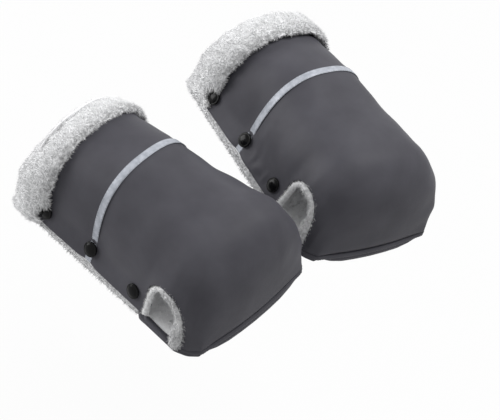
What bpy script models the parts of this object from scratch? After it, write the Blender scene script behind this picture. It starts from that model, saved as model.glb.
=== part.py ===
"""A pair of padded, fleece-lined hand muffs that hang on the handlebar of a stroller.

Frame: +X runs along the bar to the user's right, +Y from the hand mouth to the closed front,
+Z up. The origin is on the bar's axis, midway between the two muffs.
Each muff is modelled about its own bar axis (x across, y to the front, z up) and then posed.
"""
import math

import bmesh
import bpy
import numpy as np
from mathutils import Matrix, Vector

MM = 0.001

# where the two muffs sit on the bar
MUFF_OFFSET = 89.0 * MM
RIGHT_YAW = math.radians(5.7)
LEFT_YAW = math.radians(-9.4)
BAR_DROOP = math.radians(8.5)
LEFT_PITCH = math.radians(-4.0)

# stations along the muff, from the hand mouth to the front seam
Y_END = -188.0 * MM
Y_MOUTH = -157.6 * MM
Y_TAPE = -100.6 * MM
Y_WAIST = -60.0 * MM
Y_LAST_SNAP = -33.0 * MM
Y_NOTCH = -26.4 * MM
Y_FLAT = -16.2 * MM
Y_NOSE = -6.0 * MM
Y_BAR = 0.0 * MM
Y_SHOULDER = 22.0 * MM
Y_CORNER = 34.0 * MM
Y_SEAM = 42.0 * MM
SEAM_BULGE = 6.0 * MM

# half widths at the flange edge, and how far the flange leans in from there to its root
TIP_END, TIP_MOUTH, TIP_TAPE, TIP_WAIST = 65.0 * MM, 68.5 * MM, 71.0 * MM, 74.0 * MM
TIP_NOTCH, TIP_BAR, TIP_SHOULDER, TIP_CORNER = 76.5 * MM, 79.8 * MM, 80.5 * MM, 76.0 * MM
TIP_SEAM = 67.9 * MM
LEAN_END, LEAN_MOUTH, LEAN_TAPE, LEAN_WAIST = 8.0 * MM, 8.0 * MM, 11.0 * MM, 9.0 * MM
LEAN_NOTCH, LEAN_BAR, LEAN_SHOULDER, LEAN_CORNER = 7.0 * MM, 2.8 * MM, 3.1 * MM, 0.8 * MM

# heights above the plane of the flange edges
Z_TIP = -25.0 * MM
RISE_HAND, RISE_BAR, RISE_SHOULDER, RISE_CORNER = 21.5 * MM, 18.0 * MM, 14.0 * MM, 8.0 * MM
RISE_LIMIT_SHARE = 0.3
HIGH_END, HIGH_MOUTH, HIGH_TAPE = 80.0 * MM, 86.0 * MM, 97.0 * MM
HIGH_WAIST, HIGH_NOSE = 93.5 * MM, 94.5 * MM
REAR_POWER, FRONT_POWER = 2.35, 2.6
NOSE_POWER = 2.7

# layers of the quilted panels
SHELL = 0.8 * MM
GAP = 0.4 * MM
PAD_FLANGE, PAD_NEAR_ROOT, PAD_BODY = 1.5 * MM, 5.0 * MM, 6.0 * MM
LINING_FLANGE, LINING_BODY = 1.5 * MM, 3.0 * MM
HALVES_GAP = 0.6 * MM

# bottom panel
STRIP = 8.0 * MM
FLOOR_HAND, FLOOR_BAR, FLOOR_FRONT = -20.0 * MM, -23.5 * MM, -25.8 * MM
FLOOR_RISE_POWER = 4.0
FLOOR_SHARES = (0.84, 0.6, 0.3)
RIM_OUT = 1.0 * MM
RIM_DROP, EDGE_DROP, FLAT_DROP = 2.2 * MM, 1.2 * MM, 0.8 * MM
EDGE_IN, MID_IN, RIDGE_IN = 1.0 * MM, 5.0 * MM, 10.0 * MM
STEP_DROP, STEP_IN = 2.2 * MM, 4.5 * MM
RIDGE_LEAN = 0.35

# turned-out fleece cuff
CUFF_START = -158.4 * MM
CUFF_CROWN = -165.0 * MM
CUFF_TURN = -182.0 * MM
CUFF_CORNER = -194.5 * MM
CUFF_LIP = -197.5 * MM
CUFF_BODY, CUFF_ROOT, CUFF_FLANGE = 9.0 * MM, 7.0 * MM, 3.5 * MM
CUFF_FLOOR = 7.0 * MM
CUFF_GAP = 0.8 * MM
CUFF_START_SHARE, CUFF_CORNER_SHARE = 0.5, 0.6
CUFF_MIDDLE_SHARE = 0.5
CUFF_FOLD_CORNER = 4
CUFF_FILL_SHARES = {"middle": 0.35, "ridge": 0.7}

# side notch for the bar, and the fleece roll round it
NOTCH_CENTRE_Y = -1.0 * MM
NOTCH_RADIUS = 24.5 * MM
CUT_OVERRUN = 15.0 * MM
NOTCH_DEPTH = CUT_OVERRUN - Z_TIP
NOTCH_REACH = TIP_SHOULDER + CUT_OVERRUN
NOTCH_SIDES = 20
ROLL_RADIUS = 3.4 * MM
ROLL_GAP = 0.5 * MM
ROLL_PATH_RADIUS = NOTCH_RADIUS - ROLL_RADIUS - ROLL_GAP
ROLL_FOOT = -23.8 * MM
ROLL_ARC_STEPS = 8
ROLL_ROUND = 2

# reflective tape
TAPE = 0.5 * MM
TAPE_HALF_WIDTH = 4.0 * MM

# press studs
SNAP_Y_REAR, SNAP_Y_MIDDLE, SNAP_Y_FRONT = -160.0 * MM, Y_TAPE, -40.8 * MM
SNAP_SHARE = 0.62
SNAP_SIDES = 8
CAP_RADIUS, CAP_CROWN_RADIUS = 7.5 * MM, 4.6 * MM
CAP_RIM, CAP_CROWN, CAP_TOP = 1.0 * MM, 2.7 * MM, 3.2 * MM
POST_RADIUS, POST_HOLE_RADIUS = 2.0 * MM, 2.4 * MM
PLATE_RADIUS, PLATE_HOLE_RADIUS = 4.6 * MM, 5.0 * MM
SOCKET_BORE_RADIUS, STUD_HEAD_RADIUS = 2.6 * MM, 2.1 * MM
SOCKET_TOP, SOCKET_FOOT, SOCKET_BORE_END = -3.15 * MM, -4.55 * MM, -3.7 * MM
STUD_TOP, STUD_SHOULDER = -4.0 * MM, -4.2 * MM
STUD_PLATE_TOP, STUD_PLATE_FOOT = -5.25 * MM, -6.3 * MM
BACK_TOP, BACK_RIM, BACK_CROWN = -10.2 * MM, -11.2 * MM, -11.6 * MM
BACK_RADIUS, BACK_RIM_RADIUS = 5.0 * MM, 4.4 * MM
BACK_CUT_TOP, BACK_CUT_FOOT = -10.0 * MM, -12.4 * MM
POST_CUT_TOP, POST_CUT_FOOT = 2.5 * MM, -12.0 * MM
PLATE_CUT_TOP, PLATE_CUT_FOOT = -2.3 * MM, -7.2 * MM

# division of the panels
FLANGE_STEPS = 2
ARCH_STEPS = 6
SECTION_POINTS = 80
FLANGE_LEAST_SHARE = 0.08
NOSE_ANGLES = (math.radians(28.0), math.radians(52.0), math.radians(74.0), math.radians(90.0))
QUARTER = math.pi / 2
STEP = 0.05 * MM
ANGLE_STEP = math.radians(0.5)
SHARP_ANGLE = math.radians(50.0)
EDGE_SHARE = 0.02
HALF_SHARE = 0.5
RIGHT_SIDE, LEFT_SIDE = 1, -1

# shares across a section: flange root, middle of the flank, crown, and the panel's first steps
ROOT_SHARE, FLANK_SHARE, CROWN_SHARE = 1.0, 1.5, 2.0
FIRST_STEP_SHARE = ROOT_SHARE + (CROWN_SHARE - ROOT_SHARE) / ARCH_STEPS
SECOND_STEP_SHARE = FIRST_STEP_SHARE + (CROWN_SHARE - ROOT_SHARE) / ARCH_STEPS

STATIONS = (Y_END, Y_MOUTH, Y_TAPE, Y_WAIST, Y_NOTCH, Y_BAR, Y_SHOULDER, Y_CORNER, Y_SEAM)
TIPS = (TIP_END, TIP_MOUTH, TIP_TAPE, TIP_WAIST, TIP_NOTCH, TIP_BAR, TIP_SHOULDER, TIP_CORNER,
        TIP_SEAM)
LEANS = (LEAN_END, LEAN_MOUTH, LEAN_TAPE, LEAN_WAIST, LEAN_NOTCH, LEAN_BAR, LEAN_SHOULDER,
         LEAN_CORNER, 0.0)
ROOTS = [tip - lean for tip, lean in zip(TIPS, LEANS)]
RISES = (RISE_HAND, RISE_HAND, RISE_HAND, RISE_HAND, RISE_HAND, RISE_BAR, RISE_SHOULDER,
         RISE_CORNER, 0.0)


# empty scene with one collection for the pieces and one for the cutters
for old in list(bpy.data.objects):
    bpy.data.objects.remove(old, do_unlink=True)
parts = bpy.data.collections.new("stroller_hand_muff")
bpy.context.scene.collection.children.link(parts)
cutters = bpy.data.collections.new("cutters")
bpy.context.scene.collection.children.link(cutters)

SHELL_LOOK = ((0.055, 0.053, 0.065, 1.0), 0.55, 0.0)
PADDING_LOOK = ((0.62, 0.62, 0.60, 1.0), 0.95, 0.0)
FLEECE_LOOK = ((0.80, 0.80, 0.81, 1.0), 0.95, 0.0)
TAPE_LOOK = ((0.36, 0.40, 0.42, 1.0), 0.40, 0.0)
CAP_LOOK = ((0.008, 0.008, 0.009, 1.0), 0.20, 0.0)
STUD_LOOK = ((0.55, 0.55, 0.56, 1.0), 0.30, 1.0)


def material(name, look):
    """One plain Principled material for one piece."""
    colour, roughness, metallic = look
    result = bpy.data.materials.new(name)
    result.use_nodes = True
    shader = result.node_tree.nodes["Principled BSDF"]
    shader.inputs["Base Color"].default_value = colour
    shader.inputs["Roughness"].default_value = roughness
    shader.inputs["Metallic"].default_value = metallic
    return result


# top surface of one muff
def row_state(row):
    """Row ('y', y) lies in the straight part, row ('nose', angle) in the rounded front."""
    kind, value = row
    if kind == "y":
        return value, 1.0
    power = 2.0 / NOSE_POWER
    y = Y_NOSE + (Y_SEAM - Y_NOSE) * math.sin(value) ** power
    return y, max(math.cos(value), 0.0) ** power


def half_section(row):
    """Points of the outer surface from the flange edge to the crown, with the flange's length."""
    y, high_share = row_state(row)
    tip = np.interp(y, STATIONS, TIPS)
    root = np.interp(y, STATIONS, ROOTS)
    rise = np.interp(y, STATIONS, RISES)
    high = np.interp(min(y, Y_NOSE), (Y_END, Y_MOUTH, Y_TAPE, Y_WAIST, Y_NOSE),
                     (HIGH_END, HIGH_MOUTH, HIGH_TAPE, HIGH_WAIST, HIGH_NOSE)) * high_share
    rise = min(rise, high * RISE_LIMIT_SHARE)
    power = 2.0 / np.interp(y, (Y_MOUTH, Y_NOTCH), (REAR_POWER, FRONT_POWER))
    turn = np.linspace(0.0, QUARTER, SECTION_POINTS)
    across = root * np.clip(np.cos(turn), 0.0, 1.0) ** power
    up = rise + (high - rise) * np.sin(turn) ** power
    points = np.vstack([[tip, 0.0], np.column_stack([across, up])])
    return points, math.hypot(tip - root, rise), y


def outer_point(share, row):
    """Outer surface point; share runs 0 to 1 on the flange and 1 to 2 over the arch."""
    points, flange, y = half_section(row)
    lengths = np.concatenate([[0.0], np.cumsum(np.hypot(*np.diff(points, axis=0).T))])
    flange = max(flange, FLANGE_LEAST_SHARE * lengths[-1])
    if share <= ROOT_SHARE:
        along = share * flange
    else:
        along = flange + (share - ROOT_SHARE) * (lengths[-1] - flange)
    x = np.interp(along, lengths, points[:, 0])
    z = np.interp(along, lengths, points[:, 1])
    if y > 0.0:
        y += SEAM_BULGE * (y / Y_SEAM) * max(0.0, 1.0 - (x / TIP_SEAM) ** 2)
    return np.array([x, y, z + Z_TIP])


def outer_normal(share, row):
    """Unit normal of the outer surface, pointing out."""
    low = max(share - EDGE_SHARE, 0.0)
    high = min(share + EDGE_SHARE, CROWN_SHARE)
    kind, value = row
    step = STEP if kind == "y" else ANGLE_STEP
    value = min(value, QUARTER - step - step) if kind == "nose" else value
    centre = min(max(share, EDGE_SHARE), CROWN_SHARE)
    across = outer_point(high, (kind, value)) - outer_point(low, (kind, value))
    along = outer_point(centre, (kind, value + step)) - outer_point(centre, (kind, value - step))
    normal = np.cross(across, along)
    if share >= CROWN_SHARE:
        normal[0] = 0.0
    length = np.linalg.norm(normal)
    normal = normal / length
    facing = normal[0] if share < FLANK_SHARE else normal[2]
    if facing < 0.0:
        normal = -normal
    return normal


def top_layers(share):
    """Depth of each layer's two faces below the outer surface, at one place of the section."""
    pad = np.interp(share, (ROOT_SHARE, FIRST_STEP_SHARE, SECOND_STEP_SHARE),
                    (PAD_FLANGE, PAD_NEAR_ROOT, PAD_BODY))
    lining = np.interp(share, (ROOT_SHARE, FIRST_STEP_SHARE), (LINING_FLANGE, LINING_BODY))
    pad_start = SHELL + GAP
    lining_start = pad_start + pad + GAP
    return {"shell": (0.0, SHELL), "padding": (pad_start, pad_start + pad),
            "lining": (lining_start, lining_start + lining)}


def top_point(side, share, row, depth):
    """A point below the outer surface of the top half, on one side of the muff."""
    point = outer_point(share, row) - outer_normal(share, row) * depth
    if point[1] > Y_NOTCH:
        point[2] = max(point[2], Z_TIP)
    point[0] = 0.0 if share >= CROWN_SHARE else point[0] * side
    return point


# upper surface of the bottom half, from the flange's edge to the middle of the floor
BOTTOM_FLANGE = ("strip", "edge", "middle", "ridge")
BOTTOM_HALF = BOTTOM_FLANGE + FLOOR_SHARES + (0.0,)


def bottom_frame(key, row):
    """Upper face point of the bottom half on the +x side, and the way its layers stack."""
    y = row_state(row)[0]
    down = np.array([0.0, 0.0, -1.0])
    if y <= Y_LAST_SNAP:
        under = top_layers(0.0)["lining"][1] + HALVES_GAP
        found = {}
        for name, share in (("edge", 0.0), ("middle", HALF_SHARE), ("ridge", ROOT_SHARE)):
            found[name] = outer_point(share, row) - outer_normal(share, row) * under
        slope = found["edge"] - found["middle"]
        slope = slope / np.linalg.norm(slope)
        found["strip"] = found["edge"] + slope * STRIP
        inward = -outer_normal(HALF_SHARE, row)
        lean = np.interp(y, (Y_WAIST, Y_LAST_SNAP), (RIDGE_LEAN, 0.0))
        fold = down + inward * lean
        ways = {"strip": inward, "edge": inward, "middle": inward,
                "ridge": fold / np.linalg.norm(fold)}
    else:
        tip = outer_point(0.0, row)[0]
        step = 1.0 if y <= Y_NOTCH else 0.0
        spots = {"strip": (tip + RIM_OUT, RIM_DROP + STEP_DROP * step),
                 "edge": (tip - EDGE_IN - STEP_IN * step, EDGE_DROP + STEP_DROP * step),
                 "middle": (tip - MID_IN - STEP_IN * step, FLAT_DROP + STEP_DROP * step),
                 "ridge": (tip - RIDGE_IN - STEP_IN * step, FLAT_DROP + EDGE_DROP * step)}
        found = {name: np.array([x, y, Z_TIP - drop]) for name, (x, drop) in spots.items()}
        ways = {name: down for name in spots}
    if key in found:
        point, way = found[key], ways[key]
    else:
        ridge = found["ridge"]
        floor = np.interp(y, (Y_WAIST, Y_BAR, Y_SHOULDER), (FLOOR_HAND, FLOOR_BAR, FLOOR_FRONT))
        z = floor + (ridge[2] - floor) * key ** FLOOR_RISE_POWER
        point, way = np.array([ridge[0] * key, y, z]), down
    if y > 0.0:
        point = point.copy()
        swell = max(0.0, 1.0 - (point[0] / TIP_SEAM) ** 2)
        point[1] = y + SEAM_BULGE * (y / Y_SEAM) * swell
    return point, way


def bottom_layers(key):
    """Depth of each layer's two faces below the upper face of the bottom half."""
    if key in BOTTOM_FLANGE:
        lining, pad = LINING_FLANGE, PAD_FLANGE
    elif key == FLOOR_SHARES[0]:
        lining, pad = LINING_BODY, PAD_NEAR_ROOT - LINING_FLANGE
    else:
        lining, pad = LINING_BODY, PAD_BODY
    pad_start = lining + GAP
    shell_start = pad_start + pad + GAP
    return {"lining": (0.0, lining), "padding": (pad_start, pad_start + pad),
            "shell": (shell_start, shell_start + SHELL)}


def bottom_point(side, key, row, depth):
    """A point below the upper face of the bottom half, on one side of the muff."""
    point, way = bottom_frame(key, row)
    point = point + way * depth
    point[0] = 0.0 if key == 0.0 else point[0] * side
    return point


# tools that build and place the pieces
def muff_pose(side):
    """Pose of one muff's own frame in the shared frame."""
    yaw = RIGHT_YAW if side > 0.0 else LEFT_YAW
    pitch = 0.0 if side > 0.0 else LEFT_PITCH
    turn = Matrix.Rotation(yaw, 4, "Z") @ Matrix.Rotation(pitch, 4, "X")
    turn = turn @ Matrix.Rotation(BAR_DROOP * side, 4, "Y")
    return Matrix.Translation((MUFF_OFFSET * side, 0.0, 0.0)) @ turn


def hinge_point(side):
    """Middle of one muff's front hinge line, in the shared frame."""
    return muff_pose(side) @ Vector((0.0, Y_SEAM + SEAM_BULGE + GAP, Z_TIP))


def add_object(name, bm, pose, origin, look, target=parts):
    """Put a finished bmesh, given in the muff's own frame, into the scene."""
    bm.transform(Matrix.Translation(-origin) @ pose)
    bmesh.ops.recalc_face_normals(bm, faces=bm.faces)
    if bm.calc_volume(signed=True) < 0.0:
        bmesh.ops.reverse_faces(bm, faces=bm.faces)
    mesh = bpy.data.meshes.new(name)
    bm.to_mesh(mesh)
    bm.free()
    mesh.shade_smooth()
    mesh.set_sharp_from_angle(angle=SHARP_ANGLE)
    result = bpy.data.objects.new(name, mesh)
    result.location = origin
    target.objects.link(result)
    if look:
        mesh.materials.append(material(name, look))
    else:
        result.hide_render = True
        result.display_type = "WIRE"
    return result


def slab(across, along, place):
    """A block of across by along cells, bent so that place(i, j, far) gives each corner."""
    bm = bmesh.new()
    bmesh.ops.create_grid(bm, x_segments=across, y_segments=along, size=HALF_SHARE)
    lifted = bmesh.ops.extrude_face_region(bm, geom=bm.faces[:])
    for item in lifted["geom"]:
        if isinstance(item, bmesh.types.BMVert):
            item.co.z = 1.0
    spots = {vert: (round((vert.co.x + HALF_SHARE) * across),
                    round((vert.co.y + HALF_SHARE) * along),
                    vert.co.z > HALF_SHARE) for vert in bm.verts}
    for face in bm.faces[:]:
        if len({spots[vert][2] for vert in face.verts}) > 1:
            continue
        # every layer is split along the same diagonals, mirrored about the middle
        low = min(spots[vert][0] for vert in face.verts)
        slant = 1 if low * 2 < across else -1
        ends = sorted(face.verts, key=lambda vert: spots[vert][0] * slant + spots[vert][1])
        bmesh.utils.face_split(face, ends[0], ends[-1])
    for vert, (i, j, far) in spots.items():
        vert.co = place(i, j, far)
    return bm


def lathe(profile):
    """A round solid from (radius, height) points; the first and last lie on the axis."""
    bm = bmesh.new()
    verts = [bm.verts.new((radius, 0.0, height)) for radius, height in profile]
    edges = [bm.edges.new(pair) for pair in zip(verts[:-1], verts[1:])]
    bmesh.ops.spin(bm, geom=verts + edges, cent=(0.0, 0.0, 0.0), axis=(0.0, 0.0, 1.0),
                   angle=math.tau, steps=SNAP_SIDES, use_merge=True)
    bmesh.ops.remove_doubles(bm, verts=bm.verts, dist=STEP * HALF_SHARE)
    return bm


def round_cut(radius, top, foot):
    """A straight round cutter between two heights."""
    bm = bmesh.new()
    bmesh.ops.create_cone(bm, cap_ends=True, segments=SNAP_SIDES, radius1=radius,
                          radius2=radius, depth=top - foot)
    bmesh.ops.translate(bm, verts=bm.verts, vec=(0.0, 0.0, (top + foot) * HALF_SHARE))
    return bm


def join(target, extra, matrix):
    """Copy a small bmesh into another one, moved by a matrix."""
    extra.transform(matrix)
    mesh = bpy.data.meshes.new("joining")
    extra.to_mesh(mesh)
    extra.free()
    target.from_mesh(mesh)
    bpy.data.meshes.remove(mesh)


def cut(piece, cutter):
    """Take a cutter out of a piece."""
    change = piece.modifiers.new("cut_" + cutter.name, "BOOLEAN")
    change.operation = "DIFFERENCE"
    change.solver = "EXACT"
    change.object = cutter


def snap_pose(side_sign, y, lift):
    """Frame of a press stud: its z axis stands out of the flange."""
    row = ("y", y)
    point = outer_point(SNAP_SHARE, row)
    normal = outer_normal(SNAP_SHARE, row)
    point[0] *= side_sign
    normal[0] *= side_sign
    place = Vector(point) + Vector(normal) * lift
    return Matrix.Translation(place) @ Vector(normal).to_track_quat("Z", "Y").to_matrix().to_4x4()


# rows along one muff and places across it, shared by its layers
TOP_ROWS = [("y", y) for y in (Y_END, Y_MOUTH, Y_TAPE, Y_WAIST, Y_NOTCH, Y_NOSE)]
TOP_ROWS += [("nose", angle) for angle in NOSE_ANGLES]
BOTTOM_ROWS = [("y", y) for y in (Y_END, Y_MOUTH, Y_TAPE, Y_WAIST, Y_LAST_SNAP, Y_NOTCH,
                                  Y_FLAT, Y_SHOULDER, Y_CORNER, Y_SEAM)]
TOP_SHARES = [i / FLANGE_STEPS for i in range(FLANGE_STEPS)]
TOP_SHARES += [ROOT_SHARE + i / ARCH_STEPS for i in range(ARCH_STEPS + 1)]
TOP_ACROSS = [(RIGHT_SIDE, share) for share in TOP_SHARES]
TOP_ACROSS += [(LEFT_SIDE, share) for share in reversed(TOP_SHARES[:-1])]
BOTTOM_ACROSS = [(RIGHT_SIDE, key) for key in BOTTOM_HALF]
BOTTOM_ACROSS += [(LEFT_SIDE, key) for key in reversed(BOTTOM_HALF[:-1])]


def top_panel(layer):
    """One layer of the top half."""
    def place(i, j, far):
        side, share = TOP_ACROSS[i]
        return top_point(side, share, TOP_ROWS[j], top_layers(share)[layer][1 if far else 0])
    return slab(len(TOP_ACROSS) - 1, len(TOP_ROWS) - 1, place)


def bottom_panel(layer):
    """One layer of the bottom half."""
    def place(i, j, far):
        side, key = BOTTOM_ACROSS[i]
        return bottom_point(side, key, BOTTOM_ROWS[j], bottom_layers(key)[layer][1 if far else 0])
    return slab(len(BOTTOM_ACROSS) - 1, len(BOTTOM_ROWS) - 1, place)


def cuff_profile(thick, total):
    """Inner and outer (y, depth) corners of the folded fleece, from its edge round the mouth."""
    end = Y_END - GAP
    under = -CUFF_GAP
    inner = ((CUFF_START, under), (CUFF_CROWN, under), (CUFF_TURN, under), (end, under),
             (end, total * CUFF_MIDDLE_SHARE), (end, total))
    outer = ((CUFF_START, under - thick * CUFF_START_SHARE), (CUFF_CROWN, under - thick),
             (CUFF_TURN, under - thick), (CUFF_CORNER, -thick * CUFF_CORNER_SHARE),
             (CUFF_LIP, total * CUFF_MIDDLE_SHARE), (CUFF_CORNER, total))
    return inner, outer


def top_cuff():
    """The turned-out cuff of the top half."""
    def place(i, j, far):
        side, share = TOP_ACROSS[i]
        thick = np.interp(share, (HALF_SHARE, ROOT_SHARE, FIRST_STEP_SHARE),
                          (CUFF_FLANGE, CUFF_ROOT, CUFF_BODY))
        corners = cuff_profile(thick, top_layers(share)["lining"][1])
        y, depth = corners[1 if far else 0][j]
        return top_point(side, share, ("y", y), depth)
    return slab(len(TOP_ACROSS) - 1, len(cuff_profile(SHELL, SHELL)[0]) - 1, place)


def bottom_cuff():
    """The turned-out cuff of the bottom half."""
    def corner(side, key, far, j):
        thick = CUFF_FLANGE if key in BOTTOM_FLANGE else CUFF_FLOOR
        total = bottom_layers(key)["shell"][1]
        y, depth = cuff_profile(thick, total)[1 if far else 0][j]
        return bottom_point(side, key, ("y", y), total - depth)

    def place(i, j, far):
        side, key = BOTTOM_ACROSS[i]
        if far and key in CUFF_FILL_SHARES and j < CUFF_FOLD_CORNER:
            edge = corner(side, "edge", far, j)
            return edge + (corner(side, FLOOR_SHARES[0], far, j) - edge) * CUFF_FILL_SHARES[key]
        return corner(side, key, far, j)
    return slab(len(BOTTOM_ACROSS) - 1, len(cuff_profile(SHELL, SHELL)[0]) - 1, place)


def tape():
    """The reflective tape sewn across the top shell."""
    rows = (("y", Y_TAPE - TAPE_HALF_WIDTH), ("y", Y_TAPE), ("y", Y_TAPE + TAPE_HALF_WIDTH))

    def place(i, j, far):
        side, share = TOP_ACROSS[i]
        return top_point(side, share, rows[j], -GAP - TAPE if far else -GAP)
    return slab(len(TOP_ACROSS) - 1, len(rows) - 1, place)


def notch_cutter():
    """An arch-topped bar through both side walls."""
    bm = bmesh.new()
    bmesh.ops.create_cone(bm, cap_ends=True, segments=NOTCH_SIDES,
                          radius1=NOTCH_RADIUS, radius2=NOTCH_RADIUS, depth=NOTCH_REACH * 2.0)
    bmesh.ops.rotate(bm, verts=bm.verts, cent=(0.0, 0.0, 0.0),
                     matrix=Matrix.Rotation(QUARTER, 3, "Y"))
    for vert in bm.verts:
        if vert.co.z < -STEP:
            vert.co.y = vert.co.y / math.cos(math.tau / NOTCH_SIDES)
            vert.co.z = vert.co.z - NOTCH_DEPTH
    bmesh.ops.translate(bm, verts=bm.verts, vec=(0.0, NOTCH_CENTRE_Y, 0.0))
    return bm


def wall_middle(side_sign, y, z):
    """Middle of the side wall at a given y and height."""
    row = ("y", y)
    shares = np.linspace(0.0, CROWN_SHARE, SECTION_POINTS)
    heights = [outer_point(share, row)[2] for share in shares]
    share = float(np.interp(z, heights, shares))
    depth = top_layers(share)["lining"][1] * HALF_SHARE
    point = outer_point(share, row) - outer_normal(share, row) * depth
    return Vector((point[0] * side_sign, y, z))


def notch_roll(name, pose, origin, side_sign):
    """The fleece roll round one side notch."""
    path = [(NOTCH_CENTRE_Y - ROLL_PATH_RADIUS, ROLL_FOOT)]
    for i in range(ROLL_ARC_STEPS + 1):
        turn = math.pi * i / ROLL_ARC_STEPS
        path.append((NOTCH_CENTRE_Y - ROLL_PATH_RADIUS * math.cos(turn),
                     ROLL_PATH_RADIUS * math.sin(turn)))
    path.append((NOTCH_CENTRE_Y + ROLL_PATH_RADIUS, ROLL_FOOT))
    curve = bpy.data.curves.new(name, "CURVE")
    curve.dimensions = "3D"
    curve.bevel_depth = ROLL_RADIUS
    curve.bevel_resolution = ROLL_ROUND
    curve.use_fill_caps = True
    spline = curve.splines.new("POLY")
    spline.points.add(len(path) - 1)
    for point, (y, z) in zip(spline.points, path):
        place = pose @ wall_middle(side_sign, y, z) - origin
        point.co = (place.x, place.y, place.z, 1.0)
    result = bpy.data.objects.new(name, curve)
    result.location = origin
    curve.materials.append(material(name, FLEECE_LOOK))
    parts.objects.link(result)


def build_muff(prefix, side):
    """All pieces of one muff; side is +1 for the user's right one."""
    pose = muff_pose(side)
    hinge = hinge_point(side)
    base = Vector((MUFF_OFFSET * side, 0.0, 0.0))
    snaps = [(where, sign, spot, y)
             for where, sign in (("outer", side), ("inner", -side))
             for spot, y in (("rear", SNAP_Y_REAR), ("middle", SNAP_Y_MIDDLE),
                             ("front", SNAP_Y_FRONT))]

    rear = [snap for snap in snaps if snap[2] == "rear"]

    def holes(name, spots, radius, top, foot):
        """One cutter for like holes at several press studs."""
        bm = bmesh.new()
        for where, sign, spot, y in spots:
            join(bm, round_cut(radius, top, foot), snap_pose(sign, y, 0.0))
        return add_object("_".join((prefix, name)), bm, pose, base, None, cutters)

    posts = holes("post_holes", snaps, POST_HOLE_RADIUS, POST_CUT_TOP, POST_CUT_FOOT)
    plates = holes("plate_holes", snaps, PLATE_HOLE_RADIUS, PLATE_CUT_TOP, PLATE_CUT_FOOT)
    backs = holes("back_pockets", snaps, BACK_RADIUS + CUFF_GAP, BACK_CUT_TOP, BACK_CUT_FOOT)
    top_bites = holes("top_cuff_bites", rear, CAP_RADIUS + CUFF_GAP, CUT_OVERRUN, 0.0)
    bottom_bites = holes("bottom_cuff_bites", rear, BACK_RADIUS + CUFF_GAP, PLATE_CUT_FOOT,
                         BACK_CUT_FOOT)
    notch = add_object(prefix + "_notch_cutter", notch_cutter(), pose, base, None, cutters)

    looks = {"shell": SHELL_LOOK, "padding": PADDING_LOOK, "lining": FLEECE_LOOK}
    for layer, look in looks.items():
        passing = plates if layer == "lining" else posts
        piece = add_object(prefix + "_top_" + layer, top_panel(layer), pose, hinge, look)
        cut(piece, notch)
        cut(piece, passing)
        piece = add_object(prefix + "_bottom_" + layer, bottom_panel(layer), pose, base, look)
        cut(piece, passing)
        if layer != "lining":
            cut(piece, backs)
        if layer == "padding":
            cut(piece, plates)
    cut(add_object(prefix + "_top_cuff", top_cuff(), pose, hinge, FLEECE_LOOK), top_bites)
    cut(add_object(prefix + "_bottom_cuff", bottom_cuff(), pose, base, FLEECE_LOOK),
        bottom_bites)
    cut(add_object(prefix + "_reflective_tape", tape(), pose, hinge, TAPE_LOOK), posts)
    for where, sign in (("outer", side), ("inner", -side)):
        notch_roll(prefix + "_notch_roll_" + where, pose, hinge, sign)

    for where, sign, spot, y in snaps:
        lift = GAP + TAPE + GAP if spot == "middle" else GAP
        cap = lathe(((0.0, lift + CAP_TOP), (CAP_CROWN_RADIUS, lift + CAP_CROWN),
                     (CAP_RADIUS, lift + CAP_RIM), (CAP_RADIUS, lift), (POST_RADIUS, lift),
                     (POST_RADIUS, SOCKET_TOP), (PLATE_RADIUS, SOCKET_TOP),
                     (PLATE_RADIUS, SOCKET_FOOT), (SOCKET_BORE_RADIUS, SOCKET_FOOT),
                     (SOCKET_BORE_RADIUS, SOCKET_BORE_END), (0.0, SOCKET_BORE_END)))
        stud = lathe(((0.0, STUD_TOP), (STUD_HEAD_RADIUS, STUD_SHOULDER),
                      (STUD_HEAD_RADIUS, STUD_PLATE_TOP), (PLATE_RADIUS, STUD_PLATE_TOP),
                      (PLATE_RADIUS, STUD_PLATE_FOOT), (POST_RADIUS, STUD_PLATE_FOOT),
                      (POST_RADIUS, BACK_TOP), (BACK_RADIUS, BACK_TOP),
                      (BACK_RIM_RADIUS, BACK_RIM), (0.0, BACK_CROWN)))
        spot_pose = pose @ snap_pose(sign, y, 0.0)
        add_object("_".join((prefix, "snap_cap", where, spot)), cap, spot_pose, hinge, CAP_LOOK)
        add_object("_".join((prefix, "snap_stud", where, spot)), stud, spot_pose, base, STUD_LOOK)


build_muff("right", RIGHT_SIDE)
build_muff("left", LEFT_SIDE)
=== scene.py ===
"""Looks of a pair of padded, fleece-lined stroller hand muffs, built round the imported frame."""
import math

import bmesh
import bpy
import numpy as np
from mathutils import Matrix, Vector, noise


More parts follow.
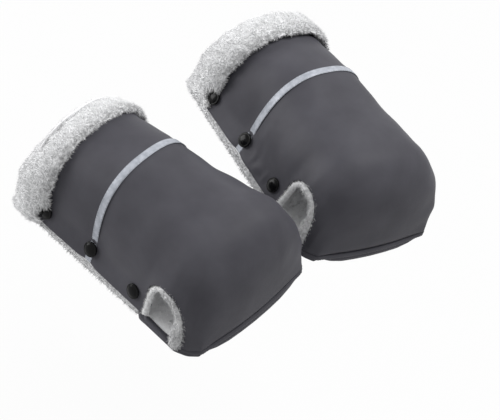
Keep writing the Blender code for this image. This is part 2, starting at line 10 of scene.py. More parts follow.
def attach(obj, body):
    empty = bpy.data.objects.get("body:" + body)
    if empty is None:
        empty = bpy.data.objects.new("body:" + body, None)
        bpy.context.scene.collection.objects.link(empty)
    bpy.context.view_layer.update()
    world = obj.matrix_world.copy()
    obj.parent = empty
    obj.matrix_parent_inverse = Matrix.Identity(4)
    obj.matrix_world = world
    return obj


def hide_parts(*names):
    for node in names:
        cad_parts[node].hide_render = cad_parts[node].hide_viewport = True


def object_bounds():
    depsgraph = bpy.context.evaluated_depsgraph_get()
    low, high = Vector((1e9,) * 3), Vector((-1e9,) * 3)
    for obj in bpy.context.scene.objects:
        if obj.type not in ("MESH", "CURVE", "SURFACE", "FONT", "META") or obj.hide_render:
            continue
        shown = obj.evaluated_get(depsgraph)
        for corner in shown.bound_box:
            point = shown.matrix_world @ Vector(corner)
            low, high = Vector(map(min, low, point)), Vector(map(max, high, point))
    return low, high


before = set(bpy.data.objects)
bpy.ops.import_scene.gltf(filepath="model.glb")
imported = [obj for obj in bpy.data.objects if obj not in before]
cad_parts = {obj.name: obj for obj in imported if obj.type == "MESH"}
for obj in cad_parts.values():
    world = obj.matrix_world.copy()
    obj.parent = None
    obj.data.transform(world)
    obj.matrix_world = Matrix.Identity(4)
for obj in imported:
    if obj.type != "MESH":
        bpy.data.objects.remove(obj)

cad_low, cad_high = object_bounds()
MM = 0.001
scene = bpy.context.scene
MUFFS = ((1.0, "right"), (-1.0, "left"))


# Camera: 2.1 m away, looking down on the muffs from the closed front, rolled as it was held.
CAMERA_AZIMUTH = math.radians(125.3)
CAMERA_HEIGHT = math.radians(43.4)
CAMERA_ROLL = math.radians(16.4)
CAMERA_DISTANCE, CAMERA_REACH = 2.12, 20.0
FOCAL_PIXELS = 2280.0
IMAGE_WIDTH, IMAGE_HEIGHT = 500.0, 420.0
ORIGIN_PIXEL = (291.0, 230.0)
SENSOR_WIDTH = 36.0

back = Vector((math.sin(CAMERA_AZIMUTH) * math.cos(CAMERA_HEIGHT),
               -math.cos(CAMERA_AZIMUTH) * math.cos(CAMERA_HEIGHT), math.sin(CAMERA_HEIGHT)))
level = Vector((math.cos(CAMERA_AZIMUTH), math.sin(CAMERA_AZIMUTH), 0.0))
upright = back.cross(level)
rolled_right = level * math.cos(CAMERA_ROLL) + upright * math.sin(CAMERA_ROLL)
rolled_up = upright * math.cos(CAMERA_ROLL) - level * math.sin(CAMERA_ROLL)
lens = bpy.data.cameras.new("camera")
lens.sensor_width = SENSOR_WIDTH
lens.lens = FOCAL_PIXELS / IMAGE_WIDTH * SENSOR_WIDTH
lens.shift_x = (IMAGE_WIDTH / 2 - ORIGIN_PIXEL[0]) / IMAGE_WIDTH
lens.shift_y = (ORIGIN_PIXEL[1] - IMAGE_HEIGHT / 2) / IMAGE_WIDTH
lens.clip_end = CAMERA_REACH
camera = bpy.data.objects.new("camera", lens)
camera.matrix_world = Matrix.Translation(back * CAMERA_DISTANCE) @ Matrix(
    (rolled_right, rolled_up, back)).transposed().to_4x4()
scene.collection.objects.link(camera)
scene.camera = camera
scene.view_settings.view_transform = "Standard"


# Floor: a plain white sweep some way below the muffs, which are shown as they hang in use. It
# shows white to the camera and keeps a soft shadow.
FLOOR_DROP = 0.30
FLOOR_SIZE = 14.0
FLOOR_GLOW = 0.95
FLOOR_GREY, FLOOR_ROUGHNESS = (0.6, 0.6, 0.6, 1.0), 0.9
WHITE = (1.0, 1.0, 1.0, 1.0)


def node(tree, kind, inputs=None, **settings):
    """Adds a node; an input given as a socket is linked, and any other value is set."""
    result = tree.nodes.new(kind)
    for name, value in settings.items():
        setattr(result, name, value)
    for key, value in (inputs or {}).items():
        if isinstance(value, bpy.types.NodeSocket):
            tree.links.new(value, result.inputs[key])
        else:
            result.inputs[key].default_value = value
    return result


def worked_out(tree, operation, *values):
    """What one Math node makes of sockets and numbers."""
    return node(tree, "ShaderNodeMath", dict(enumerate(values)), operation=operation).outputs[0]


def seen_rays(tree):
    """1 for rays that show a surface, straight, mirrored or through glass, and 0 for others."""
    path = node(tree, "ShaderNodeLightPath").outputs
    shown = worked_out(tree, "MAXIMUM", path["Is Camera Ray"], path["Is Glossy Ray"])
    return worked_out(tree, "MAXIMUM", shown, path["Is Transmission Ray"])


def new_look(name, settings):
    """A new material, its node tree, and its Principled shader with its plain settings."""
    look = bpy.data.materials.new(name)
    look.use_nodes = True
    shader = look.node_tree.nodes["Principled BSDF"]
    for socket, value in settings.items():
        shader.inputs[socket].default_value = value
    return look, look.node_tree, shader


def object_of(bm, name):
    """An object in the scene from a finished bmesh."""
    mesh = bpy.data.meshes.new(name)
    bm.to_mesh(mesh)
    bm.free()
    result = bpy.data.objects.new(name, mesh)
    scene.collection.objects.link(result)
    return result


bm = bmesh.new()
bmesh.ops.create_grid(bm, x_segments=1, y_segments=1, size=FLOOR_SIZE / 2)
bmesh.ops.translate(bm, verts=bm.verts, vec=(0.0, 0.0, cad_low.z - FLOOR_DROP))
floor = object_of(bm, "floor")
floor_look, tree, shader = new_look("floor", {"Base Color": FLOOR_GREY,
                                              "Roughness": FLOOR_ROUGHNESS})
glow = node(tree, "ShaderNodeEmission", {"Color": WHITE, "Strength": 1.0})
seen = worked_out(tree, "MULTIPLY", seen_rays(tree), FLOOR_GLOW)
mixed = node(tree, "ShaderNodeMixShader", {0: seen, 1: shader.outputs[0], 2: glow.outputs[0]})
tree.links.new(mixed.outputs[0], tree.nodes["Material Output"].inputs["Surface"])
floor.data.materials.append(floor_look)


# Lights: an even pale room, a large soft key high over the far side of the pair, which leaves the
# near sides in shade, and a low soft fill at the mouths. Each has a place, a target, its size in
# metres and its power in watts.
ROOM_STRENGTH = 0.55
LAMPS = {"key": ((-0.95, 0.1, 1.65), (0.0, -0.02, 0.0), 1.1, 28.0),
         "fill": ((0.9, -1.75, 0.45), (0.0, -0.15, 0.0), 1.2, 28.0)}
world = bpy.data.worlds.new("room")
scene.world = world
world.use_nodes = True
room = world.node_tree.nodes["Background"]
room.inputs["Color"].default_value = WHITE
strength = node(world.node_tree, "ShaderNodeMapRange", {
    "Value": seen_rays(world.node_tree), "To Min": ROOM_STRENGTH, "To Max": 1.0})
world.node_tree.links.new(strength.outputs["Result"], room.inputs["Strength"])
for name, (place, target, size, power) in LAMPS.items():
    light = bpy.data.lights.new(name, "AREA")
    light.size = size
    light.energy = power
    lamp = bpy.data.objects.new(name, light)
    lamp.location = place
    lamp.rotation_euler = (Vector(place) - Vector(target)).to_track_quat("Z", "Y").to_euler()
    scene.collection.objects.link(lamp)


# Lower covers: the underside of each muff, dark satin nylon over a thin layer of wadding, nearly
# flat, with a flange down each side that the press studs go through.


def mm(*values):
    """Lengths given in millimetres."""
    return np.array(values) * MM


STATIONS = mm(-188.0, -157.6, -100.6, -60.0, -26.4, 0.0, 22.0, 34.0, 42.0)
TIPS = mm(65.0, 68.5, 71.0, 74.0, 76.5, 79.8, 80.5, 76.0, 67.9)
ROOTS = mm(57.0, 60.5, 60.0, 65.0, 69.5, 77.0, 77.4, 75.2, 67.9)
RISES = mm(21.5, 21.5, 21.5, 21.5, 21.5, 18.0, 14.0, 8.0, 0.0)
CROWN_STATIONS = mm(-188.0, -157.6, -100.6, -60.0, -6.0)
CROWNS = mm(80.0, 86.0, 97.0, 93.5, 94.5)
LOWER_STATIONS = mm(-188.0, -157.6, -100.6, -60.0, -33.0, -26.4, -16.2, 22.0, 34.0, 42.0)
EDGE_HEIGHT = -25.0 * MM
Y_MOUTH, Y_TAPE, Y_WAIST = -157.6 * MM, -100.6 * MM, -60.0 * MM
Y_LAST_STUD, Y_NOTCH, Y_NOSE, Y_SEAM = -33.0 * MM, -26.4 * MM, -6.0 * MM, 42.0 * MM
SEAM_BULGE = 6.0 * MM
SEAM_HALF_WIDTH = TIPS[-1]
REAR_POWER, FRONT_POWER, NOSE_POWER = 2.35, 2.6, 2.7
RISE_LIMIT_SHARE, FLANGE_LEAST_SHARE = 0.3, 0.08
QUARTER = math.pi / 2
ARCH_STEPS, ARCH_MIDDLE = 80, 1.5
WAY_STEP, WAY_TURN, WAY_SHARE = 0.05 * MM, math.radians(0.5), 0.02
MUFF_OFFSET = 89.0 * MM
YAWS, PITCHES = {1.0: 5.7, -1.0: -9.4}, {1.0: 0.0, -1.0: -4.0}
SIDE_DROOP = 8.5
UNDER_UPPER = 5.2 * MM
STRIP = 8.0 * MM
LOWER_PLACES = 8
RIDGE_LEAN = 0.35
RIM_REACH = mm(1.0, -1.0, -5.0, -10.0)
RIM_DROPS = mm(2.2, 1.2, 0.8, 0.8)
STEP_REACH = mm(0.0, 4.5, 4.5, 4.5)
STEP_DROPS = mm(2.2, 2.2, 2.2, 1.2)
FLOOR_SHARES = np.array([0.84, 0.6, 0.3, 0.0])
FLOOR_HEIGHTS = mm(-20.0, -23.5, -25.8)
FLOOR_POWER = 4.0
LOWER_ROWS = np.concatenate([np.linspace(-188.0, -33.0, 38), np.linspace(-30.0, 20.0, 16),
                             np.linspace(22.0, 42.0, 9)]) * MM
LOWER_COLUMNS = np.concatenate([np.linspace(0.0, 3.0, 10), np.linspace(3.3, 7.0, 22)])
LOWER_ROUNDING = 3
LOWER_OUTSIDE = mm(4.6, 4.6, 4.6, 4.6, 8.1, 10.6, 10.6, 10.6)
LOWER_INSIDE = mm(1.9, 1.9, 1.9, 1.9, 3.4, 3.4, 3.4, 3.4)
CLOTH = {"quality": 6, "mass": 0.15, "tension_stiffness": 30.0, "compression_stiffness": 30.0,
         "shear_stiffness": 10.0, "bending_stiffness": 4.0, "air_damping": 2.0,
         "use_pressure": True, "vertex_group_shrink": "slack", "vertex_group_mass": "held"}
LOWER_CLOTH = {"growth": 0.008, "pressure": 4.0, "out_cap": 2.5 * MM, "in_cap": 0.8 * MM,
               "frames": 12}
HELD_ROWS, HELD_COLUMNS, LOWER_FILL = 2, 10, 0.5
NYLON_DARK, NYLON_PALE = (0.058, 0.057, 0.067, 1.0), (0.077, 0.076, 0.088, 1.0)


def lengths_along(path):
    """How far along a path of points each of them lies."""
    return np.concatenate([[0.0], np.cumsum(np.linalg.norm(np.diff(path, axis=0), axis=1))])


def surface(row, shares):
    """Outer surface of one upper half: 0 to 1 on the flange and 1 to 2 over the arch."""
    kind, value = row
    y, height_share = value, 1.0
    if kind == "nose":
        y = Y_NOSE + (Y_SEAM - Y_NOSE) * math.sin(value) ** (2.0 / NOSE_POWER)
        height_share = max(math.cos(value), 0.0) ** (2.0 / NOSE_POWER)
    tip, root = np.interp(y, STATIONS, TIPS), np.interp(y, STATIONS, ROOTS)
    crown = np.interp(min(y, Y_NOSE), CROWN_STATIONS, CROWNS) * height_share
    rise = min(np.interp(y, STATIONS, RISES), crown * RISE_LIMIT_SHARE)
    power = 2.0 / np.interp(y, (Y_MOUTH, Y_NOTCH), (REAR_POWER, FRONT_POWER))
    turn = np.linspace(0.0, QUARTER, ARCH_STEPS)
    across = root * np.clip(np.cos(turn), 0.0, 1.0) ** power
    lift = rise + (crown - rise) * np.sin(turn) ** power
    outline = np.vstack([[tip, 0.0], np.column_stack([across, lift])])
    lengths = lengths_along(outline)
    flange = max(math.hypot(tip - root, rise), lengths[-1] * FLANGE_LEAST_SHARE)
    along = np.where(shares <= 1.0, shares * flange,
                     flange + (shares - 1.0) * (lengths[-1] - flange))
    x = np.interp(along, lengths, outline[:, 0])
    z = np.interp(along, lengths, outline[:, 1]) + EDGE_HEIGHT
    forward = np.full_like(x, y)
    if y > 0.0:
        forward += SEAM_BULGE * y / Y_SEAM * np.clip(1.0 - (x / SEAM_HALF_WIDTH) ** 2, 0.0, None)
    return np.column_stack([x, forward, z])


def surface_way(row, shares):
    """Unit normals of the outer surface, pointing out."""
    kind, value = row
    step = WAY_STEP if kind == "y" else WAY_TURN
    if kind == "nose":
        value = min(value, QUARTER - step * 2)
    middle = np.clip(shares, WAY_SHARE, 2.0)
    across = (surface((kind, value), np.minimum(shares + WAY_SHARE, 2.0))
              - surface((kind, value), np.maximum(shares - WAY_SHARE, 0.0)))
    along = surface((kind, value + step), middle) - surface((kind, value - step), middle)
    way = np.cross(across, along)
    way[shares >= 2.0, 0] = 0.0
    way /= np.linalg.norm(way, axis=1)[:, None]
    wrong = np.where(shares < ARCH_MIDDLE, way[:, 0], way[:, 2]) < 0.0
    way[wrong] *= -1.0
    return way


def muff_pose(side):
    """Place and tilt of one muff."""
    turn = Matrix.Rotation(math.radians(YAWS[side]), 4, "Z")
    turn = turn @ Matrix.Rotation(math.radians(PITCHES[side]), 4, "X")
    turn = turn @ Matrix.Rotation(math.radians(SIDE_DROOP) * side, 4, "Y")
    return Matrix.Translation((MUFF_OFFSET * side, 0.0, 0.0)) @ turn


def posed(points, side):
    """Points of a muff's own frame, moved to where it hangs."""
    pose = np.array(muff_pose(side))
    return (np.reshape(points, (-1, 3)) @ pose[:3, :3].T + pose[:3, 3]).reshape(np.shape(points))


def unposed(points, side):
    """Points of the shared frame, in a muff's own frame."""
    pose = np.array(muff_pose(side))
    return (np.asarray(points) - pose[:3, 3]) @ pose[:3, :3]


def turned_way(ways, side):
    """Directions of a muff's own frame, turned as it hangs."""
    return np.asarray(ways) @ np.array(muff_pose(side))[:3, :3].T


def lower_section(y):
    """Upper face of a lower half at one station, edge strip to middle, and how layers stack."""
    down = np.array([0.0, 0.0, -1.0])
    ways = np.tile(down, (LOWER_PLACES, 1))
    spots = np.full((LOWER_PLACES, 3), y)
    if y <= Y_LAST_STUD:
        shares = np.array([0.0, 0.5, 1.0])
        way = surface_way(("y", y), shares)
        spots[1:4] = surface(("y", y), shares) - way * UNDER_UPPER
        slope = spots[1] - spots[2]
        spots[0] = spots[1] + slope / np.linalg.norm(slope) * STRIP
        ways[:3] = -way[1]
        fold = down - way[1] * np.interp(y, (Y_WAIST, Y_LAST_STUD), (RIDGE_LEAN, 0.0))
        ways[3] = fold / np.linalg.norm(fold)
    else:
        step = 1.0 if y <= Y_NOTCH else 0.0
        spots[:4, 0] = np.interp(y, STATIONS, TIPS) + RIM_REACH - STEP_REACH * step
        spots[:4, 2] = EDGE_HEIGHT - RIM_DROPS - STEP_DROPS * step
    ground = np.interp(y, (Y_WAIST, 0.0, STATIONS[6]), FLOOR_HEIGHTS)
    spots[4:, 0] = spots[3, 0] * FLOOR_SHARES
    spots[4:, 2] = ground + (spots[3, 2] - ground) * FLOOR_SHARES ** FLOOR_POWER
    if y > 0.0:
        swell = np.clip(1.0 - (spots[:, 0] / SEAM_HALF_WIDTH) ** 2, 0.0, None)
        spots[:, 1] = y + SEAM_BULGE * y / Y_SEAM * swell
    return spots, ways


def between(values, at, wanted):
    """Values given at some places along their first axis, worked out at other places."""
    lines = values.reshape(len(at), -1).T
    found = np.column_stack([np.interp(wanted, at, line) for line in lines])
    return found.reshape((len(wanted),) + values.shape[1:])


def mirrored(net):
    """A net of one side, rows by columns, joined to its mirror image."""
    return np.concatenate([net, net[:, -2::-1] * (-1.0, 1.0, 1.0)], axis=1)


def lower_net(depths):
    """Fine net of a lower half, as deep as stated at each of its section's places."""
    sections = [lower_section(y) for y in LOWER_STATIONS]
    coarse = np.array([spots + ways * depths[:, None] for spots, ways in sections])
    rows = between(coarse, LOWER_STATIONS, LOWER_ROWS)
    columns = between(rows.transpose(1, 0, 2), np.arange(LOWER_PLACES), LOWER_COLUMNS)
    net = mirrored(columns.transpose(1, 0, 2))
    for _ in range(LOWER_ROUNDING):
        middle = (net[:-2, 1:-1] + net[2:, 1:-1] + net[1:-1, :-2] + net[1:-1, 2:]) / 4
        net[1:-1, 1:-1] = net[1:-1, 1:-1] * 0.5 + middle * 0.5
    return net


def panel(near, far, side):
    """A closed panel between two nets in a muff's own frame, moved to where it hangs, and each
    vertex's row, column and face."""
    near, far = posed(near, side), posed(far, side)
    rows, columns = near.shape[:2]
    bm = bmesh.new()
    bmesh.ops.create_grid(bm, x_segments=columns - 1, y_segments=rows - 1, size=0.5)
    lifted = bmesh.ops.extrude_face_region(bm, geom=bm.faces[:])
    for item in lifted["geom"]:
        if isinstance(item, bmesh.types.BMVert):
            item.co.z = 1.0
    places = []
    for vert in bm.verts:
        i, j = round((vert.co.y + 0.5) * (rows - 1)), round((vert.co.x + 0.5) * (columns - 1))
        deep = vert.co.z > 0.5
        vert.co = (far if deep else near)[i, j]
        places.append((i, j, deep))
    bmesh.ops.recalc_face_normals(bm, faces=bm.faces)
    return bm, np.array(places)


def add_piece(name, bm, look, body, stands_for):
    """A finished bmesh in the shared frame becomes a piece that rides on a body."""
    piece = object_of(bm, name)
    piece.data.shade_smooth()
    piece.data.materials.append(look)
    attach(piece, body)
    if stands_for:
        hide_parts(*stands_for)
    return piece


def baked(piece):
    """Works the piece's modifiers into its mesh."""
    look = piece.data.materials[0]
    shape = bpy.data.meshes.new_from_object(
        piece.evaluated_get(bpy.context.evaluated_depsgraph_get()))
    piece.modifiers.clear()
    old = piece.data
    piece.data = shape
    bpy.data.meshes.remove(old)
    shape.materials.clear()
    shape.materials.append(look)
    shape.polygons.foreach_set("material_index", [0] * len(shape.polygons))
    shape.shade_smooth()
    return shape


def points_and_ways(mesh):
    """Vertex places and normals of a mesh."""
    found = []
    for kind in ("co", "normal"):
        flat = np.empty(len(mesh.vertices) * 3, dtype=np.float32)
        mesh.vertices.foreach_get(kind, flat)
        found.append(flat.reshape(-1, 3).astype(float))
    return found


def set_points(mesh, points):
    """Moves every vertex of a mesh."""
    mesh.vertices.foreach_set("co", np.asarray(points, dtype=np.float32).ravel())
    mesh.update()


def settle(piece, held, slack, pressure, out_cap, in_cap, frames, growth=0.0, slack_growth=0.0):
    """Lets the cloth puff and crease between its held points. It grows by a share, and by
    another where slack is 1, and moves out and in no further than its caps."""
    base, ways = points_and_ways(piece.data)
    pins = piece.vertex_groups.new(name="held")
    pins.add([int(i) for i in np.nonzero(held)[0]], 1.0, "REPLACE")
    full = piece.vertex_groups.new(name="slack")
    for i in np.nonzero(slack > 0.0)[0]:
        full.add([int(i)], float(slack[i]), "REPLACE")
    change = piece.modifiers.new("cloth", "CLOTH")
    for setting, value in CLOTH.items():
        setattr(change.settings, setting, value)
    change.settings.uniform_pressure_force = pressure
    change.settings.shrink_min, change.settings.shrink_max = -growth, -slack_growth
    change.settings.effector_weights.gravity = 0.0
    change.collision_settings.use_collision = False
    change.point_cache.frame_start = 1
    change.point_cache.frame_end = frames
    for step in range(1, frames + 1):
        scene.frame_set(step)
    shape = baked(piece)
    scene.frame_set(1)
    moved = points_and_ways(shape)[0] - base
    lift = np.einsum("ij,ij->i", moved, ways)
    slide = moved - ways * lift[:, None]
    set_points(shape, base + ways * np.clip(lift, -in_cap, out_cap)[:, None] + slide * 0.5)
    piece.vertex_groups.clear()


def smoothed(piece):
    """One level of subdivision, worked in."""
    change = piece.modifiers.new("smooth", "SUBSURF")
    change.levels = change.render_levels = 1
    return baked(piece)


def node_group(name, kind, inputs, outputs):
    """A node group's tree, with named inputs and outputs of stated kinds, and its inputs."""
    tree = bpy.data.node_groups.new(name, kind)
    for way, sockets in (("INPUT", inputs), ("OUTPUT", outputs)):
        for socket, holds in sockets.items():
            tree.interface.new_socket(name=socket, in_out=way, socket_type="NodeSocket" + holds)
    return tree, node(tree, "NodeGroupInput").outputs


def thread_group():
    """Shader group: the small relief of crossed threads."""
    tree, start = node_group("crossed_threads", "ShaderNodeTree",
                             {"Vector": "Vector", "Count": "Float"}, {"Height": "Float"})
    waves = [node(tree, "ShaderNodeTexWave", {"Vector": start["Vector"], "Scale": start["Count"]},
                  bands_direction=way).outputs["Fac"] for way in ("X", "Y")]
    node(tree, "NodeGroupOutput", {"Height": worked_out(tree, "MULTIPLY", *waves)})
    return tree


threads = thread_group()


def spots_of(tree, scale, detail):
    """Soft noise over the piece, so many times a metre."""
    place = node(tree, "ShaderNodeTexCoord").outputs["Object"]
    return node(tree, "ShaderNodeTexNoise", {"Vector": place, "Scale": scale,
                                             "Detail": detail}).outputs["Fac"]


def two_tones(tree, value, stops):
    """A colour that goes from one tone to another, given as {value: colour}."""
    tint = node(tree, "ShaderNodeValToRGB", {"Fac": value})
    for stop, (position, colour) in zip(tint.color_ramp.elements, stops.items()):
        stop.position = position
        stop.color = colour
    return tint.outputs["Color"]


def woven(tree, count, strength, depth):
    """Normals of crossed threads, so many a metre."""
    weave = node(tree, "ShaderNodeGroup", {
        "Vector": node(tree, "ShaderNodeTexCoord").outputs["Object"], "Count": count},
        node_tree=threads)
    return node(tree, "ShaderNodeBump", {"Strength": strength, "Distance": depth,
                                         "Height": weave.outputs["Height"]}).outputs["Normal"]


def satin_nylon():
    """Dark charcoal nylon, faintly uneven in shade, with a tight weave and fine puckers."""
    look, tree, shader = new_look("satin_nylon", {"Roughness": 0.5, "Specular IOR Level": 0.1})
    patches = spots_of(tree, scale=26.0, detail=3.0)
    tint = two_tones(tree, patches, {0.3: NYLON_DARK, 0.7: NYLON_PALE})
    tree.links.new(tint, shader.inputs["Base Color"])
    puckers = node(tree, "ShaderNodeBump", {
        "Strength": 0.22, "Distance": 0.7 * MM, "Height": spots_of(tree, scale=120.0, detail=4.0),
        "Normal": woven(tree, count=900.0, strength=0.15, depth=0.08 * MM)})
    tree.links.new(puckers.outputs["Normal"], shader.inputs["Normal"])
    return look


nylon = satin_nylon()

for side, name in MUFFS:
    outside, inside = lower_net(LOWER_OUTSIDE), lower_net(LOWER_INSIDE)
    rows, columns = outside.shape[:2]
    bm, places = panel(outside, inside, side)
    cover = add_piece(name + "_lower_cover", bm, nylon, name + "_lower_half",
                      (name + "_bottom_shell", name + "_bottom_padding"))
    spot = outside[places[:, 0], places[:, 1]]
    on_edge = ((places[:, 0] < HELD_ROWS) | (places[:, 0] >= rows - HELD_ROWS)
               | (places[:, 1] < HELD_COLUMNS) | (places[:, 1] >= columns - HELD_COLUMNS))
    held = on_edge | (places[:, 2] == 1) | (spot[:, 1] < Y_MOUTH)
    settle(cover, held, np.zeros(len(held)), **LOWER_CLOTH)
    smoothed(cover)


# Front bindings: the folded nylon edge that closes each muff in front of its notches, a firm
# piping sewn round the lower half, which the upper half's edge rests on.
BINDING_RADIUS, BINDING_SIDES = 2.7 * MM, 16
BINDING_DROP = 2.8 * MM
BINDING_REACH = -2.5 * MM
BINDING_SQUARE = 4.0
PUCKERS, PUCKER_DEPTH = 46, 0.25 * MM
CORNER_ROUNDING = 14
END_TAPER, END_LEAST = 6.0 * MM, 0.25
SIDE_Y = np.concatenate([np.linspace(-24.0, 22.0, 16), np.linspace(24.0, 42.0, 16)]) * MM
FRONT_X = np.linspace(SEAM_HALF_WIDTH, 0.0, 24)[1:]


def squared_tube(path, radii, sides):
    """A closed tube round a path, square with soft corners, as thick as stated."""
    bm = bmesh.new()
    ring = bmesh.ops.create_circle(bm, cap_ends=True, segments=sides, radius=1.0)["verts"]
    for k, (spot, radius) in enumerate(zip(path, radii)):
        if k:
            face = next(face for face in bm.faces if set(face.verts) == set(ring))
            step = bmesh.ops.extrude_discrete_faces(bm, faces=[face])
            ring = list(step["faces"][0].verts)
        way = Vector(path[min(k + 1, len(path) - 1)] - path[max(k - 1, 0)]).normalized()
        side_way = way.cross(Vector((0.0, 0.0, 1.0))).normalized()
        top_way = side_way.cross(way)
        for n, vert in enumerate(ring):
            turn = math.tau * n / sides
            across, lift = math.cos(turn), math.sin(turn)
            full = abs(across) ** BINDING_SQUARE + abs(lift) ** BINDING_SQUARE
            reach = radius / full ** (1.0 / BINDING_SQUARE)
            vert.co = Vector(spot) + (side_way * across + top_way * lift) * reach
    bmesh.ops.recalc_face_normals(bm, faces=bm.faces)
    return bm


for side, name in MUFFS:
    tips = np.interp(SIDE_Y, STATIONS, TIPS) + BINDING_REACH
    swell = SEAM_BULGE * (1.0 - (FRONT_X / SEAM_HALF_WIDTH) ** 2) + BINDING_REACH
    half = np.vstack([np.column_stack([tips, SIDE_Y]), np.column_stack([FRONT_X, Y_SEAM + swell])])
    half = np.column_stack([half, np.full(len(half), EDGE_HEIGHT - BINDING_DROP)])
    whole = np.vstack([half, half[-2::-1] * (-1.0, 1.0, 1.0)])
    lengths = lengths_along(whole)
    along = np.linspace(0.0, lengths[-1], PUCKERS * 4 + 1)
    path = between(whole, lengths, along)
    for _ in range(CORNER_ROUNDING):
        path[1:-1] = path[1:-1] * 0.5 + (path[:-2] + path[2:]) * 0.25
    ends = np.clip(np.minimum(along, lengths[-1] - along) / END_TAPER, END_LEAST, 1.0)
    radii = BINDING_RADIUS * ends - PUCKER_DEPTH * np.sin(np.arange(len(along)) * QUARTER) ** 2
    bm = squared_tube(posed(path, side), radii, BINDING_SIDES)
    add_piece(name + "_front_binding", bm, nylon, name + "_lower_half", None)


# Lower linings: white plush fleece, wider than the upper flange, so that its edge shows as a
# furry strip down each side.
LINING_BOTTOM = mm(1.5, 1.5, 1.5, 1.5, 3.0, 3.0, 3.0, 3.0)
FRONT_TRIM = 5.5 * MM
TRIM_SIDE, TRIM_FRONT = 60.0 * MM, {20: 0.0, 40: 1.0}
STRIP_COLUMNS, FLOOR_COLUMN = 7, 9
FLOOR_PILE_SHARE = 0.3
# Hair length, then how much painted mottled shade the lining and its edge strip take.
LINING_HAIR, LINING_PAINTED_SHADE, STRIP_PAINTED_SHADE = 0.8, 0.1, 0.3
LINING_PILE = {"Spacing": 1.1 * MM, "Length": 2.7 * MM, "Width": 0.55 * MM}
PILE_DENSITY = 3.0e6
TUFT_CURL, TUFT_STRAY, TUFT_SIZES = 0.45, 0.4, {2: 0.65, 3: 1.25}
# Fleece tones: the grey roots are a painted shade between the tufts. FLEECE_SHADE is the painted
# shade mixed in as a mottle where the pile lies deep, and its strength is the next number.
# TUFT_DARK is a tone that differs at random from tuft to tuft.
FLEECE_SHADED_ROOT, FLEECE_TIP = (0.86, 0.863, 0.872, 1.0), (0.96, 0.962, 0.967, 1.0)
FLEECE_SHADE, TIP_FROM = (0.13, 0.13, 0.14, 1.0), 0.75
PAINTED_MOTTLE_DARK, TUFT_DARK = 0.6, 0.07
LUMP_SHIFT = (3.7, 1.3, 0.0)
HEM_STEPS, HEM_OVER = (1.8 * MM, 0.3 * MM), 1.2 * MM


def with_hem(near, far, edge):
    """Adds the fleece's hem at the mouth, which turns over a cover's end as far as its edge."""
    ahead = [net[:1] - (0.0, step, 0.0) for step in HEM_STEPS for net in (near, edge)]
    return np.concatenate(ahead[0::2] + [near]), np.concatenate(ahead[1::2] + [far])


